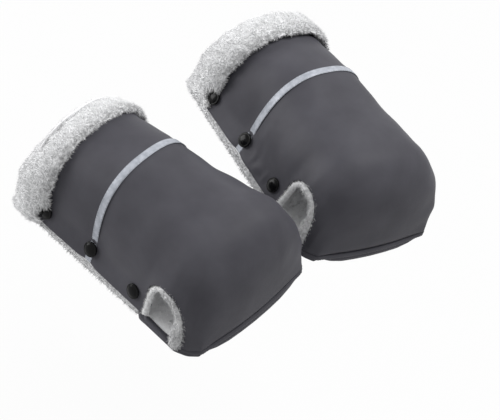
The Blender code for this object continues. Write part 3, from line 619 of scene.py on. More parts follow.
def pile_group():
    """Geometry group: covers a mesh with small bent tufts, leaning the way the pile lies."""
    tree, start = node_group("plush_pile", "GeometryNodeTree", {
        "Geometry": "Geometry", "Spacing": "Float", "Length": "Float", "Width": "Float",
        "Seed": "Int"}, {"Geometry": "Geometry"})
    dense = node(tree, "GeometryNodeInputNamedAttribute", {"Name": "pile"}, data_type="FLOAT")
    long = node(tree, "GeometryNodeInputNamedAttribute", {"Name": "hair"}, data_type="FLOAT")
    roots = node(tree, "GeometryNodeDistributePointsOnFaces", {
        "Mesh": start["Geometry"], "Distance Min": start["Spacing"], "Density Max": PILE_DENSITY,
        "Density Factor": dense.outputs["Attribute"], "Seed": start["Seed"]},
        distribute_method="POISSON")
    tuft = node(tree, "GeometryNodeMeshCone", {
        "Vertices": 3, "Side Segments": 2, "Radius Top": 0.0, "Radius Bottom": start["Width"],
        "Depth": start["Length"]}, fill_type="NGON")
    height = node(tree, "ShaderNodeSeparateXYZ", {
        0: node(tree, "GeometryNodeInputPosition").outputs[0]})
    along = worked_out(tree, "DIVIDE", height.outputs["Z"], start["Length"])
    marked = node(tree, "GeometryNodeStoreNamedAttribute", {
        "Geometry": tuft.outputs["Mesh"], "Name": "along", "Value": along},
        data_type="FLOAT", domain="POINT")
    curl = worked_out(tree, "MULTIPLY", along, along)
    drift = worked_out(tree, "MULTIPLY", curl, start["Length"])
    drift = worked_out(tree, "MULTIPLY", drift, TUFT_CURL)
    bent = node(tree, "GeometryNodeSetPosition", {
        "Geometry": marked.outputs["Geometry"],
        "Offset": node(tree, "ShaderNodeCombineXYZ", {"X": drift}).outputs[0]})
    stray = node(tree, "FunctionNodeRandomValue", {
        0: (-TUFT_STRAY,) * 3, 1: (TUFT_STRAY,) * 3, "Seed": start["Seed"]},
        data_type="FLOAT_VECTOR")
    lay = node(tree, "GeometryNodeInputNamedAttribute", {"Name": "lay"},
               data_type="FLOAT_VECTOR")
    lean = node(tree, "ShaderNodeVectorMath", {0: roots.outputs["Normal"], 1: lay.outputs[0]},
                operation="ADD")
    lean = node(tree, "ShaderNodeVectorMath", {0: lean.outputs[0], 1: stray.outputs[0]},
                operation="ADD")
    aimed = node(tree, "FunctionNodeAlignRotationToVector", {"Vector": lean.outputs[0]}, axis="Z")
    spin = node(tree, "FunctionNodeRandomValue", {0: (0.0, 0.0, -math.pi), 1: (0.0, 0.0, math.pi),
                                                  "Seed": 11}, data_type="FLOAT_VECTOR")
    turned = node(tree, "FunctionNodeRotateRotation", {
        0: aimed.outputs[0], 1: spin.outputs[0]}, rotation_space="LOCAL")
    size = node(tree, "FunctionNodeRandomValue", {**TUFT_SIZES, "Seed": 5}, data_type="FLOAT")
    size = worked_out(tree, "MULTIPLY", size.outputs[1], long.outputs["Attribute"])
    tufts = node(tree, "GeometryNodeInstanceOnPoints", {
        "Points": roots.outputs["Points"], "Instance": bent.outputs["Geometry"],
        "Rotation": turned.outputs[0], "Scale": size})
    shade = node(tree, "FunctionNodeRandomValue", {"Seed": 7}, data_type="FLOAT")
    shaded = node(tree, "GeometryNodeStoreNamedAttribute", {
        "Geometry": tufts.outputs["Instances"], "Name": "shade", "Value": shade.outputs[1]},
        data_type="FLOAT", domain="INSTANCE")
    real = node(tree, "GeometryNodeRealizeInstances", {"Geometry": shaded.outputs["Geometry"]})
    both = node(tree, "GeometryNodeJoinGeometry")
    tree.links.new(real.outputs["Geometry"], both.inputs[0])
    tree.links.new(start["Geometry"], both.inputs[0])
    node(tree, "NodeGroupOutput", {"Geometry": both.outputs[0]})
    return tree


pile = pile_group()


def mark(mesh, name, values):
    """Stores a number or a direction a vertex on a mesh."""
    values = np.asarray(values, dtype=np.float32)
    kind, member = ("FLOAT", "value") if values.ndim == 1 else ("FLOAT_VECTOR", "vector")
    field = mesh.attributes.new(name, kind, "POINT")
    field.data.foreach_set(member, values.ravel())


def grow_pile(piece, fields, tufts, seed):
    """Covers a fleece piece with tufts. Its fields say how thick the pile is at each
    vertex, how long its hair, how grey its painted shade, and which way it lies."""
    mesh = piece.data
    for name, values in fields.items():
        mark(mesh, name, values)
    change = piece.modifiers.new("pile", "NODES")
    change.node_group = pile
    values = {**tufts, "Seed": seed}
    for item in pile.interface.items_tree:
        if item.in_out == "INPUT" and item.name in values:
            change[item.identifier] = values[item.name]
    shape = baked(piece)
    for name in ("pile", "hair", "lay"):
        if name in shape.attributes:
            shape.attributes.remove(shape.attributes[name])


def read_off(curve, values, unit=MM):
    """Values read off a curve given as {place: value}, its places in millimetres or shares."""
    return np.interp(values / unit, list(curve), list(curve.values()))


def lumpy(points, ways, grain, depth, seed):
    """Points moved along their normals by soft seeded lumps."""
    shift = Vector([seed * part for part in LUMP_SHIFT])
    lumps = np.array([noise.noise(Vector(spot) / grain + shift) for spot in points])
    return points + ways * (lumps * depth)[:, None]


def mixed_tones(tree, factor, first, second):
    """A colour between two others."""
    return node(tree, "ShaderNodeMix", {"Factor": factor, 6: first, 7: second},
                data_type="RGBA").outputs[2]


def plush_fleece():
    """White plush with painted shade: grey roots between the tufts, white tips, mottled grey where
    it lies deep.
    """
    look, tree, shader = new_look("plush_fleece", {
        "Roughness": 0.95, "Specular IOR Level": 0.15, "Sheen Weight": 0.5,
        "Sheen Roughness": 0.6})
    along, shade, grey = [node(tree, "ShaderNodeAttribute", {}, attribute_name=kind).outputs["Fac"]
                          for kind in ("along", "shade", "grey")]
    # Painted shade: the roots, and the base between the tufts, are greyer than the tips.
    tip = node(tree, "ShaderNodeMapRange", {"Value": along, "From Max": TIP_FROM})
    body = mixed_tones(tree, tip.outputs["Result"], FLEECE_SHADED_ROOT, FLEECE_TIP)
    # Painted shade: mottled patches of FLEECE_SHADE where the grey field says the pile lies deep,
    # added to a random darkening from tuft to tuft.
    speckle = node(tree, "ShaderNodeMapRange", {"Value": spots_of(tree, scale=330.0, detail=3.0),
                                                "From Min": 0.44, "From Max": 0.56})
    painted_mottle = worked_out(tree, "MULTIPLY", speckle.outputs["Result"], grey)
    uneven = worked_out(tree, "MULTIPLY", shade, TUFT_DARK)
    dark = worked_out(tree, "MULTIPLY_ADD", painted_mottle, PAINTED_MOTTLE_DARK, uneven)
    tree.links.new(mixed_tones(tree, dark, body, FLEECE_SHADE), shader.inputs["Base Color"])
    relief = node(tree, "ShaderNodeBump", {"Strength": 0.4, "Distance": 0.6 * MM,
                                           "Height": spots_of(tree, scale=420.0, detail=3.0)})
    tree.links.new(relief.outputs["Normal"], shader.inputs["Normal"])
    return look


fleece = plush_fleece()

for side, name in MUFFS:
    top, bottom = lower_net(LINING_BOTTOM * 0.0), lower_net(LINING_BOTTOM)
    trim = np.interp(top[:, :, 1], (Y_LAST_STUD, Y_NOTCH), (0.0, 1.0)) * FRONT_TRIM
    for net in (top, bottom):
        net[..., 0] -= trim * np.clip(net[..., 0] / TRIM_SIDE, -1.0, 1.0)
        net[..., 1] -= FRONT_TRIM * read_off(TRIM_FRONT, net[..., 1])
    top, bottom = with_hem(top, bottom, lower_net(LOWER_OUTSIDE + HEM_OVER))
    bm, places = panel(top, bottom, side)
    lining = add_piece(name + "_lower_lining", bm, fleece, name + "_lower_half",
                       (name + "_bottom_lining",))
    column = np.minimum(places[:, 1], top.shape[1] - 1 - places[:, 1])
    strip = (column < STRIP_COLUMNS) & (top[places[:, 0], places[:, 1], 1] < Y_NOTCH)
    floor_side = (places[:, 2] == 0) & (column >= FLOOR_COLUMN)
    # The edge strip takes a stronger painted mottled shade than the rest of the lining.
    fields = {"pile": np.where(strip, 1.0, FLOOR_PILE_SHARE * floor_side),
              "hair": np.where(strip, 1.0, LINING_HAIR),
              "grey": np.where(strip, STRIP_PAINTED_SHADE, LINING_PAINTED_SHADE)}
    grow_pile(lining, fields, LINING_PILE, seed=3 if side > 0.0 else 4)


# Cuffs: the fleece turned out over the hand mouth as a thick furry band, one on each half. The
# pile lies towards the mouth and carries a painted mottled shade, greyest where it meets the
# nylon. The curves below give a value at each of some places along the muff's own axes, in
# millimetres.
CUFF_VOXEL, CUFF_ROUNDING, MERGE_GAP = 1.6 * MM, 3, 0.01 * MM
UPPER_DRAW_IN, LOWER_DRAW_IN = {-8: 0.6 * MM, 8: 2.4 * MM}, 1.2 * MM
CUFF_TIP_SWELL, TIP_REAR = 2.0 * MM, {-190: 1.0, -176: 0.0}
UPPER_TIP, LOWER_TIP = {-26: 1.0, -14: 0.0}, {50: 0.0, 60: 1.0}
CUFF_LUMPS = ((11.0 * MM, 1.6 * MM, 2.0), (4.0 * MM, 0.7 * MM, 5.0))
# Painted shade: how grey the cuff's mottle is along the muff, greyest at the nylon's edge.
CUFF_PAINTED_SHADE = {-173.4: 0.0, -158.4: 1.0}
CUFF_LOW, CUFF_REAR = {10: 1.0, 48: 0.0}, {-190: 1.0, -166: 0.0}
CUFF_REAR_SAG, CUFF_SIDE_SAG = 5.0 * MM, 4.0 * MM
CUFF_SIDE = {-20: 0.2, -4: 1.0, 25: 0.8, 50: 0.0}
SIDE_LEAST, CROWN_LEAST = 0.25, 0.3
CUFF_CROWN_LIFT = {1.0: -7.5 * MM, -1.0: 2.5 * MM}
CUFF_CORNER = {1.0: 4.0 * MM, -1.0: 0.0}
CORNER_HEIGHT = {-12: 1.0, 8: 0.0}
CORNER_LENGTH = {-196: 0.3, -182: 1.0, -168: 0.9, -155: 0.0}
CUFF_OVERLAP, OVERLAP_RISE = 3.4 * MM, 0.25
OVERLAP_LENGTH, OVERLAP_HEIGHT = {-174: 0.0, -161: 1.0}, {-14: 0.0, 0: 1.0}
CUFF_LAY, CUFF_HAIR = {-178: -0.5, -163: 0.9}, {-184: 0.8, -164: 1.0}
STUD_REAR, STUD_SHARE = -160.0 * MM, 0.62
STUD_NEAR, STUD_PULL, STUD_HAIR = {11: 1.0, 15: 0.0}, 1.6, 0.35
CUFF_PILE = {"Spacing": 0.95 * MM, "Length": 3.1 * MM, "Width": 0.5 * MM}


def even_copy(solid, voxel, rounding):
    """One of the frame's solids as an evenly netted body, a little rounded."""
    bm = bmesh.new()
    bm.from_mesh(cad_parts[solid].data)
    bmesh.ops.remove_doubles(bm, verts=bm.verts, dist=MERGE_GAP)
    copy = object_of(bm, "copy")
    copy.data.materials.append(fleece)
    change = copy.modifiers.new("even", "REMESH")
    change.mode = "VOXEL"
    change.voxel_size = voxel
    change = copy.modifiers.new("round", "SMOOTH")
    change.factor = 0.5
    change.iterations = rounding
    shape = baked(copy)
    bm = bmesh.new()
    bm.from_mesh(shape)
    bpy.data.objects.remove(copy, do_unlink=True)
    bpy.data.meshes.remove(shape)
    return bm


def stud_seat(y, sign):
    """Where a press stud sits on the flange at one station, on the + or the - side."""
    return surface(("y", y), np.array([STUD_SHARE]))[0] * (sign, 1.0, 1.0)


for side, name in MUFFS:
    for half, solid in (("upper", name + "_top_cuff"), ("lower", name + "_bottom_cuff")):
        bm = even_copy(solid, CUFF_VOXEL, CUFF_ROUNDING)
        cuff = add_piece(f"{name}_{half}_cuff", bm, fleece, f"{name}_{half}_half", (solid,))
        points, ways = points_and_ways(cuff.data)
        own = unposed(points, side)
        across, along, up = own.T
        if half == "lower":
            draw_in, tip = np.full(len(own), LOWER_DRAW_IN), read_off(LOWER_TIP, np.abs(across))
        else:
            draw_in, tip = read_off(UPPER_DRAW_IN, up), read_off(UPPER_TIP, up)
        draw_in -= CUFF_TIP_SWELL * tip * read_off(TIP_REAR, along)
        points = points - ways * draw_in[:, None]
        for grain, depth, seed in CUFF_LUMPS:
            points = lumpy(points, ways, grain, depth, seed + side)
        low, rear = read_off(CUFF_LOW, up), read_off(CUFF_REAR, along)
        corner = read_off(CORNER_HEIGHT, up) * (across > 0.0)
        fuller = np.zeros_like(own)
        fuller[:, 1] = -CUFF_REAR_SAG * low * rear * (1.0 - 0.5 * corner)
        corner *= read_off(CORNER_LENGTH, along)
        if half == "upper":
            bow = np.sign(across) * CUFF_SIDE_SAG * read_off(CUFF_SIDE, up)
            fuller[:, 0] = bow * (SIDE_LEAST + (1.0 - SIDE_LEAST) * rear)
            arched = CROWN_LEAST + (1.0 - CROWN_LEAST) * rear
            fuller[:, 2] = CUFF_CROWN_LIFT[side] * (1.0 - low) * arched
            front = read_off(OVERLAP_LENGTH, along) * read_off(OVERLAP_HEIGHT, up)
            fuller[:, 1] += CUFF_OVERLAP * front
            fuller[:, 2] += CUFF_OVERLAP * OVERLAP_RISE * front
        fuller[:, 0] += CUFF_CORNER[side] * corner
        fuller[:, 2] -= CUFF_CORNER[side] * corner
        set_points(cuff.data, points + turned_way(fuller, side))
        combed = np.zeros_like(own)
        combed[:, 1] = read_off(CUFF_LAY, along)
        hair = read_off(CUFF_HAIR, along)
        for sign in (1.0, -1.0):
            to_stud = stud_seat(STUD_REAR, sign) - own
            away = np.linalg.norm(to_stud, axis=1)
            near = read_off(STUD_NEAR, away)
            combed += to_stud / away[:, None] * (near * STUD_PULL)[:, None]
            hair += STUD_HAIR * near
        # The grey field paints the cuff's mottled shade.
        fields = {"pile": np.ones(len(own)), "grey": read_off(CUFF_PAINTED_SHADE, along), "hair": hair,
                  "lay": turned_way(combed, side)}
        grow_pile(cuff, fields, CUFF_PILE, seed=int(6 + side + (10 if half == "lower" else 0)))


# Upper linings: the same fleece inside each arched half, with an arched opening through both
# side walls, and turned out over the cover's end at the mouth.
UPPER_ROWS = [("y", y * MM) for y in np.concatenate([
    np.linspace(-188.0, -158.0, 8), np.linspace(-154.0, -109.0, 12), (-105.2, -100.6, -96.0),
    np.linspace(-92.0, -6.0, 22)])]
UPPER_ROWS += [("nose", angle) for angle in np.linspace(0.0, QUARTER, 27)[1:]]
UPPER_SHARES = np.concatenate([np.linspace(0.0, 1.0, 8)[:-1], np.linspace(1.0, 2.0, 31)])
LAYER_SHARES = np.array([1.0, 1.167, 1.333])
COVER_BOTTOM = mm(2.6, 6.0, 7.1)
LINING_UPPER_TOP = mm(3.1, 6.7, 7.7)
LINING_UPPER_BOTTOM = mm(4.5, 9.6, 10.5)
NOTCH_MIDDLE, NOTCH_RADIUS = -1.0 * MM, 24.5 * MM
NOTCH_DEPTH, NOTCH_REACH, NOTCH_SIDES = 40.0 * MM, 240.0 * MM, 64
INNER_PILE_FROM = -14.0 * MM


def upper_net(depths):
    """Net of an upper half at a depth for each of its shares across, with its normals."""
    points = np.array([surface(row, UPPER_SHARES) for row in UPPER_ROWS])
    ways = np.array([surface_way(row, UPPER_SHARES) for row in UPPER_ROWS])
    return mirrored(points - ways * depths[..., None]), mirrored(ways)


def cut_notch(piece, side):
    """Cuts the arch-topped opening through both side walls of a piece."""
    bm = bmesh.new()
    bmesh.ops.create_cone(bm, cap_ends=True, segments=NOTCH_SIDES, radius1=NOTCH_RADIUS,
                          radius2=NOTCH_RADIUS, depth=NOTCH_REACH)
    bmesh.ops.rotate(bm, verts=bm.verts, cent=(0, 0, 0), matrix=Matrix.Rotation(QUARTER, 3, "Y"))
    for vert in bm.verts:
        if vert.co.z < -MERGE_GAP:
            vert.co.z -= NOTCH_DEPTH
    bmesh.ops.translate(bm, verts=bm.verts, vec=(0.0, NOTCH_MIDDLE, 0.0))
    bm.transform(muff_pose(side))
    cutter = object_of(bm, "notch")
    change = piece.modifiers.new("notch", "BOOLEAN")
    change.operation = "DIFFERENCE"
    change.solver = "EXACT"
    change.object = cutter
    baked(piece)
    bpy.data.objects.remove(cutter, do_unlink=True)


for side, name in MUFFS:
    top = upper_net(np.interp(UPPER_SHARES, LAYER_SHARES, LINING_UPPER_TOP))[0]
    bottom = upper_net(np.interp(UPPER_SHARES, LAYER_SHARES, LINING_UPPER_BOTTOM))[0]
    bottom, top = with_hem(bottom, top, upper_net(np.full(len(UPPER_SHARES), -HEM_OVER))[0])
    bm = panel(top, bottom, side)[0]
    lining = add_piece(name + "_upper_lining", bm, fleece, name + "_upper_half",
                       (name + "_top_lining",))
    cut_notch(lining, side)
    points, ways = points_and_ways(lining.data)
    own = unposed(points, side)
    inward = np.einsum("ij,ij->i", ways, turned_way(own, side)) < 0.0
    # The inner fleece takes the lining's light painted mottled shade.
    fields = {"pile": FLOOR_PILE_SHARE * (inward & (own[:, 2] > INNER_PILE_FROM)),
              "hair": np.full(len(own), LINING_HAIR), "grey": np.full(len(own), LINING_PAINTED_SHADE)}
    grow_pile(lining, fields, LINING_PILE, seed=21 if side > 0.0 else 22)


# Upper covers: dark satin nylon quilted over wadding, one arched panel a muff, with a flange
# down each side, sewn down under the tape, at the flange's edge and along the front.
TAPE_HALF_WIDTH, TAPE_MARGIN = 4.0 * MM, 1.0 * MM
TAPE_SINK, TAPE_SINKING = 1.3 * MM, {1.0: 0.1, 1.25: 1.0}
TAPE_PULL, TAPE_PULLING, TAPE_PULL_LENGTH = 2.6 * MM, {0.0: 1.0, 0.8: 0.0}, 7.0 * MM
PUFF_START, PUFFING, SEWN_SINK = 1.4 * MM, {0.9: 0.35, 1.2: 1.0}, 0.3 * MM
UNDER_CUFF, UNDER_CUFF_SINK = 0.5 * MM, {-170: 4.0 * MM, -161: 0.0}
UNDER_CUFF_ACROSS = {1.0: 0.0, 1.2: 1.0}
NOTCH_SIDE, NOTCH_HOLD = 35.0 * MM, 28.0 * MM
STUD_STATIONS = {"rear": STUD_REAR, "middle": Y_TAPE, "front": -40.8 * MM}
STUD_SEAT = 8.0 * MM
FLANGE_GROWTH = {1.0: 0.012, -1.0: 0.035}
FILLING_GRAIN, FILLING_LUMP = 27.0 * MM, 2.4 * MM
LOOSE_HEIGHT, LOOSE_FROM_TAPE, LOOSE_FROM_CUFF = {-16: 0.0, 0: 1.0}, {5: 0.0, 14: 1.0}, 12.0 * MM
LOOSE_FAR_SIDE = {-62: 1.0, -30: 0.12}
ROOT_BULGE, ROOT_ROUNDING = {1.0: 0.8 * MM, -1.0: 2.2 * MM}, 8
BULGE_ACROSS = {0.75: 0.0, 0.92: -0.3, 1.0: -0.3, 1.06: 1.0, 1.14: 1.0, 1.4: 0.0}
BULGE_LENGTH = {-96: 0.0, -84: 1.0, -36: 1.0, -24: 0.0}
ROUNDED_ACROSS = {0.5: 0.0, 0.8: 1.0, 1.3: 1.0, 1.7: 0.0}
FOLD_HEIGHT, FOLD_PITCH, FOLD_SLANT = {1.0: 0.25 * MM, -1.0: 1.2 * MM}, 13.0 * MM, 0.45
FOLD_ACROSS = {0.1: 0.0, 0.3: 1.0, 0.8: 1.0, 1.1: 0.0}
FOLD_LENGTH = {-94: 0.0, -84: 1.0, -52: 1.0, -44: 0.0}
FOLD_GRAIN, FOLD_UNEVEN = 14.0 * MM, 0.8
UPPER_CLOTH = {"pressure": 5.0, "out_cap": 2.8 * MM, "in_cap": 1.2 * MM, "frames": 18}
SLACK_ACROSS, UPPER_FILL = {0.95: 1.0, 1.15: 0.0}, 0.7

for side, name in MUFFS:
    skin, ways = upper_net(np.zeros(len(UPPER_SHARES)))
    net_shape = skin.shape[:2]
    row, column = np.mgrid[0:net_shape[0], 0:net_shape[1]].reshape(2, -1)
    own = skin.reshape(-1, 3)
    across = np.concatenate([UPPER_SHARES, UPPER_SHARES[-2::-1]])[column]
    on_edge = ((row == 0) | (row == net_shape[0] - 1)
               | (column == 0) | (column == net_shape[1] - 1))
    on_tape = np.abs(own[:, 1] - Y_TAPE) < TAPE_HALF_WIDTH + TAPE_MARGIN
    under_cuff = own[:, 1] < Y_MOUTH + UNDER_CUFF
    ring = np.hypot(own[:, 1] - NOTCH_MIDDLE, np.maximum(own[:, 2], 0.0))
    at_notch = (np.abs(own[:, 0]) > NOTCH_SIDE) & (ring < NOTCH_HOLD)
    at_stud = np.zeros(len(own), dtype=bool)
    for y in STUD_STATIONS.values():
        for sign in (1.0, -1.0):
            at_stud |= np.linalg.norm(own - stud_seat(y, sign), axis=1) < STUD_SEAT
    free = ~(on_edge | on_tape | under_cuff | at_notch | at_stud)
    sink = np.where(free, PUFF_START * read_off(PUFFING, across, 1.0), SEWN_SINK)
    sink = np.where(on_tape, TAPE_SINK * read_off(TAPE_SINKING, across, 1.0), sink)
    sink = np.maximum(sink, read_off(UNDER_CUFF_SINK, own[:, 1])
                      * read_off(UNDER_CUFF_ACROSS, across, 1.0))
    sink[on_edge & (own[:, 1] > Y_MOUTH)] = 0.0
    bulge = read_off(BULGE_ACROSS, across, 1.0) * read_off(BULGE_LENGTH, own[:, 1])
    fold = read_off(FOLD_ACROSS, across, 1.0) * read_off(FOLD_LENGTH, own[:, 1])
    uneven = np.array([noise.noise(Vector(spot) / FOLD_GRAIN) for spot in own])
    wave = np.cos(math.tau * (own[:, 1] / FOLD_PITCH + across * FOLD_SLANT
                              + uneven * FOLD_UNEVEN))
    fold *= (own[:, 0] > 0.0) * (FOLD_UNEVEN + uneven) * wave
    height = ROOT_BULGE[side] * bulge + FOLD_HEIGHT[side] * fold - sink
    start = skin + ways * height.reshape(net_shape)[..., None]
    soft = read_off(ROUNDED_ACROSS, across, 1.0).reshape(net_shape)[:, 1:-1, None]
    for _ in range(ROOT_ROUNDING):
        middle = (start[:, :-2] + start[:, 2:]) / 2
        start[:, 1:-1] += (middle - start[:, 1:-1]) * 0.5 * soft
    bottom = upper_net(np.interp(UPPER_SHARES, LAYER_SHARES, COVER_BOTTOM))[0]
    pull = TAPE_PULL * np.exp(-((own[:, 1] - Y_TAPE) / TAPE_PULL_LENGTH) ** 2)
    pull *= read_off(TAPE_PULLING, across, 1.0) * np.sign(own[:, 0])
    for net in (start, bottom):
        net[..., 0] -= pull.reshape(net_shape)
    bm, places = panel(start, bottom, side)
    cover = add_piece(name + "_upper_cover", bm, nylon, name + "_upper_half",
                      (name + "_top_shell", name + "_top_padding"))
    spot = places[:, 0] * net_shape[1] + places[:, 1]
    held = ~free[spot] | (places[:, 2] == 1)
    slack = read_off(SLACK_ACROSS, across, 1.0)[spot]
    settle(cover, held, slack, slack_growth=FLANGE_GROWTH[side], **UPPER_CLOTH)
    shape = smoothed(cover)
    points, ways = points_and_ways(shape)
    own = unposed(points, side)
    loose = read_off(LOOSE_HEIGHT, own[:, 2]) * read_off(LOOSE_FAR_SIDE, own[:, 0])
    loose *= read_off(LOOSE_FROM_TAPE, np.abs(own[:, 1] - Y_TAPE))
    loose *= np.clip((own[:, 1] - Y_MOUTH) / LOOSE_FROM_CUFF, 0.0, 1.0)
    outward = np.einsum("ij,ij->i", turned_way(own * (1.0, 0.0, 1.0), side), ways)
    loose[outward < 0.0] = 0.0
    lumped = lumpy(points, ways, FILLING_GRAIN, FILLING_LUMP, seed=12.0 + side)
    set_points(shape, points + (lumped - points) * loose[:, None])
    cut_notch(cover, side)


# Reflective tapes: 8 mm silver-grey woven tape sewn across each upper half with two rows of
# small stitches, from one flange edge over the crown to the other.
TAPE_THICK, TAPE_LIFT = 0.5 * MM, 0.35 * MM
TAPE_ROWS = 5
TAPE_DARK, TAPE_PALE = (0.28, 0.30, 0.34, 1.0), (0.44, 0.46, 0.51, 1.0)
THREAD_GREY, THREAD_SHADE = (0.30, 0.32, 0.34, 1.0), (0.21, 0.224, 0.238, 1.0)
STITCH_PITCH, STITCH_LONG = 3.2 * MM, 1.1 * MM
STITCH_WIDE, STITCH_HIGH, STITCH_INSET = 0.28 * MM, 0.22 * MM, 0.8 * MM


def silver_tape():
    """Woven tape with a faint silver sheen, its threads running along the tape."""
    look, tree, shader = new_look("silver_tape", {"Roughness": 0.5, "Metallic": 0.15})
    patches = spots_of(tree, scale=190.0, detail=5.0)
    tint = two_tones(tree, patches, {0.32: TAPE_DARK, 0.68: TAPE_PALE})
    tree.links.new(tint, shader.inputs["Base Color"])
    weave = woven(tree, count=420.0, strength=0.4, depth=0.15 * MM)
    tree.links.new(weave, shader.inputs["Normal"])
    return look


def grey_thread():
    """Twisted sewing thread."""
    look, tree, shader = new_look("grey_thread", {"Roughness": 0.7})
    place = node(tree, "ShaderNodeTexCoord").outputs["Object"]
    twist = node(tree, "ShaderNodeTexWave", {"Vector": place, "Scale": 1600.0},
                 bands_direction="DIAGONAL").outputs["Fac"]
    tone = mixed_tones(tree, twist, THREAD_GREY, THREAD_SHADE)
    tree.links.new(tone, shader.inputs["Base Color"])
    return look


def stitch_row(bm, spots, ways):
    """Sews small stitches along a line of points, raised a little off the cloth."""
    lengths = lengths_along(spots)
    centres = np.arange(STITCH_PITCH, lengths[-1] - STITCH_PITCH / 2, STITCH_PITCH)
    for centre in centres:
        spot = Vector(between(spots, lengths, [centre])[0])
        ahead = Vector(between(spots, lengths, [centre + STITCH_LONG])[0]) - spot
        up = Vector(between(ways, lengths, [centre])[0]).normalized()
        side_way = up.cross(ahead).normalized()
        ahead = side_way.cross(up)
        frame_turn = Matrix((ahead, side_way, up)).transposed().to_4x4()
        size = Matrix.Diagonal((STITCH_LONG, STITCH_WIDE, STITCH_HIGH, 1.0))
        bmesh.ops.create_uvsphere(bm, u_segments=6, v_segments=4, radius=1.0,
                                  matrix=Matrix.Translation(spot) @ frame_turn @ size)


tape_look, tape_thread = silver_tape(), grey_thread()
for side, name in MUFFS:
    sink = TAPE_SINK * read_off(TAPE_SINKING, UPPER_SHARES, 1.0) - TAPE_LIFT
    rows = [("y", Y_TAPE + TAPE_HALF_WIDTH * step) for step in np.linspace(-1.0, 1.0, TAPE_ROWS)]
    points = np.array([surface(row, UPPER_SHARES) for row in rows])
    ways = np.array([surface_way(row, UPPER_SHARES) for row in rows])
    points[..., 0] -= TAPE_PULL * read_off(TAPE_PULLING, UPPER_SHARES, 1.0)
    under = mirrored(points - ways * sink[:, None])
    top = mirrored(points - ways * (sink - TAPE_THICK)[:, None])
    ways = mirrored(ways)
    bm = panel(top, under, side)[0]
    tape = add_piece(name + "_reflective_band", bm, tape_look, name + "_upper_half",
                     (name + "_reflective_tape",))
    smoothed(tape)
    bm = bmesh.new()
    for k, inset in ((0, STITCH_INSET), (-1, -STITCH_INSET)):
        stitch_row(bm, top[k] + (0.0, inset, 0.0), ways[k])
    bm.transform(muff_pose(side))
    add_piece(name + "_tape_stitches", bm, tape_thread, name + "_upper_half", None)


# Notch trims: a roll of the same fleece sewn round the opening in each side wall, its hairs
# standing out all round and gathered into a clump at the lower front end.
ROLL_VOXEL, ROLL_ROUNDING = 1.0 * MM, 2
ROLL_DRAW_IN, ROLL_FULLER = 0.2 * MM, 1.3 * MM
ROLL_GRAIN, ROLL_LUMP, LEAST_REACH = 5.0 * MM, 1.0 * MM, 0.1 * MM
CLUMP_SWELL, CLUMP_LENGTH, CLUMP_HEIGHT = 3.0 * MM, {8: 0.0, 17: 1.0}, {-12: 1.0, 6: 0.0}
THIN_REAR, THIN_HAIR = {-12: 1.0, -2: 0.0}, 0.4
# Painted shade on the trims: their mottle is greyer than the linings', and greyer still in the
# clump.
ROLL_PAINTED_SHADE, CLUMP_PAINTED_SHADE, ROLL_HAIR, ROLL_SPLAY = 0.45, 0.15, 0.95, 0.6
ROLL_PILE = {"Spacing": 0.85 * MM, "Length": 3.5 * MM, "Width": 0.42 * MM}

for side, name in MUFFS:
    for where in ("outer", "inner"):
        solid = f"{name}_notch_roll_{where}"
        bm = even_copy(solid, ROLL_VOXEL, ROLL_ROUNDING)
        roll = add_piece(f"{name}_notch_trim_{where}", bm, fleece, name + "_upper_half", (solid,))
        points, ways = points_and_ways(roll.data)
        own = unposed(points, side)
        clump = read_off(CLUMP_LENGTH, own[:, 1]) * read_off(CLUMP_HEIGHT, own[:, 2])
        thin = read_off(THIN_REAR, own[:, 1])
        grown = CLUMP_SWELL * clump - ROLL_DRAW_IN + ROLL_FULLER * (1.0 - thin) * (1.0 - clump)
        points = lumpy(points + ways * grown[:, None], ways, ROLL_GRAIN, ROLL_LUMP, seed=8.0)
        set_points(roll.data, points)
        outward = own - (0.0, NOTCH_MIDDLE, 0.0)
        outward[:, 0] = 0.0
        outward[:, 2] = np.maximum(outward[:, 2], 0.0)
        outward /= np.linalg.norm(outward, axis=1)[:, None] + LEAST_REACH
        outward[:, 0] = np.sign(own[:, 0]) * ROLL_SPLAY
        # The grey field paints the trim's mottled shade.
        fields = {"pile": np.ones(len(own)), "grey": ROLL_PAINTED_SHADE + CLUMP_PAINTED_SHADE * clump,
                  "hair": ROLL_HAIR - THIN_HAIR * thin, "lay": turned_way(outward, side)}
        grow_pile(roll, fields, ROLL_PILE, seed=31 if where == "outer" else 32)


# Press studs: black enamelled caps with a rolled rim on the upper flange, their sockets behind
# it, and nickel studs in the lower flange.
STUD_STEPS, SCUFF_ROUGHER = 40, 0.16
ENAMEL_BLACK, NICKEL_GREY = (0.004, 0.004, 0.0045, 1.0), (0.55, 0.55, 0.56, 1.0)
CAP_LIFTS = {"rear": 0.4 * MM, "middle": 1.3 * MM, "front": 0.4 * MM}
CAP_PROFILE = mm((0.0, 3.1), (2.6, 2.95), (4.6, 2.5), (5.7, 2.0), (6.1, 1.75), (6.45, 1.9),
                 (6.95, 1.75), (7.35, 1.3), (7.5, 0.8), (7.4, 0.3), (7.1, 0.0), (2.0, 0.0))
SOCKET_PROFILE = mm((2.0, -3.15), (4.2, -3.15), (4.6, -3.4), (4.6, -4.3), (4.3, -4.55),
                    (2.9, -4.55), (2.6, -4.4), (2.6, -3.7), (0.0, -3.7))
STUD_PROFILE = mm((0.0, -4.0), (1.6, -4.02), (2.1, -4.25), (1.9, -4.8), (2.1, -5.25), (4.3, -5.25),
                  (4.6, -5.5), (4.6, -6.1), (4.3, -6.3), (2.0, -6.3), (2.0, -10.2), (4.7, -10.2),
                  (5.0, -10.5), (4.6, -11.2), (2.5, -11.5), (0.0, -11.6))


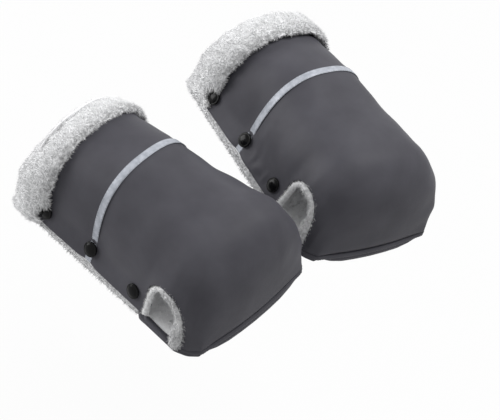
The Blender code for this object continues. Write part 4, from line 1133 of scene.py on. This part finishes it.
def turned(profile):
    """A round piece from (radius, height) points; the first and last lie on the axis."""
    bm = bmesh.new()
    verts = [bm.verts.new((radius, 0.0, height)) for radius, height in profile]
    edges = [bm.edges.new(pair) for pair in zip(verts[:-1], verts[1:])]
    bmesh.ops.spin(bm, geom=verts + edges, cent=(0.0, 0.0, 0.0), axis=(0.0, 0.0, 1.0),
                   angle=math.tau, steps=STUD_STEPS, use_merge=True)
    bmesh.ops.remove_doubles(bm, verts=bm.verts, dist=MERGE_GAP)
    bmesh.ops.recalc_face_normals(bm, faces=bm.faces)
    return bm


def stud_metal(name, colour, metallic, roughness):
    """Stamped metal with faint scuffs, bare or enamelled."""
    look, tree, shader = new_look(name, {"Metallic": metallic, "Base Color": colour,
                                         "Specular IOR Level": 0.1})
    rough = node(tree, "ShaderNodeMapRange", {
        "Value": spots_of(tree, scale=700.0, detail=5.0), "To Min": roughness,
        "To Max": roughness + SCUFF_ROUGHER})
    tree.links.new(rough.outputs["Result"], shader.inputs["Roughness"])
    return look


enamel = stud_metal("black_enamel", ENAMEL_BLACK, metallic=0.0, roughness=0.1)
nickel = stud_metal("nickel", NICKEL_GREY, metallic=1.0, roughness=0.2)
for side, name in MUFFS:
    for where, sign in (("outer", side), ("inner", -side)):
        for spot, y in STUD_STATIONS.items():
            way = Vector(surface_way(("y", y), np.array([STUD_SHARE]))[0] * (sign, 1.0, 1.0))
            pose = muff_pose(side) @ Matrix.Translation(stud_seat(y, sign))
            pose = pose @ way.to_track_quat("Z", "Y").to_matrix().to_4x4()
            cap = np.vstack([CAP_PROFILE + (0.0, CAP_LIFTS[spot]), SOCKET_PROFILE])
            for profile, look, half, piece, solid in (
                    (cap, enamel, "_upper_half", "stud_cap", "snap_cap"),
                    (STUD_PROFILE, nickel, "_lower_half", "stud_post", "snap_stud")):
                bm = turned(profile)
                bm.transform(pose)
                add_piece(f"{name}_{piece}_{where}_{spot}", bm, look, name + half,
                          (f"{name}_{solid}_{where}_{spot}",))
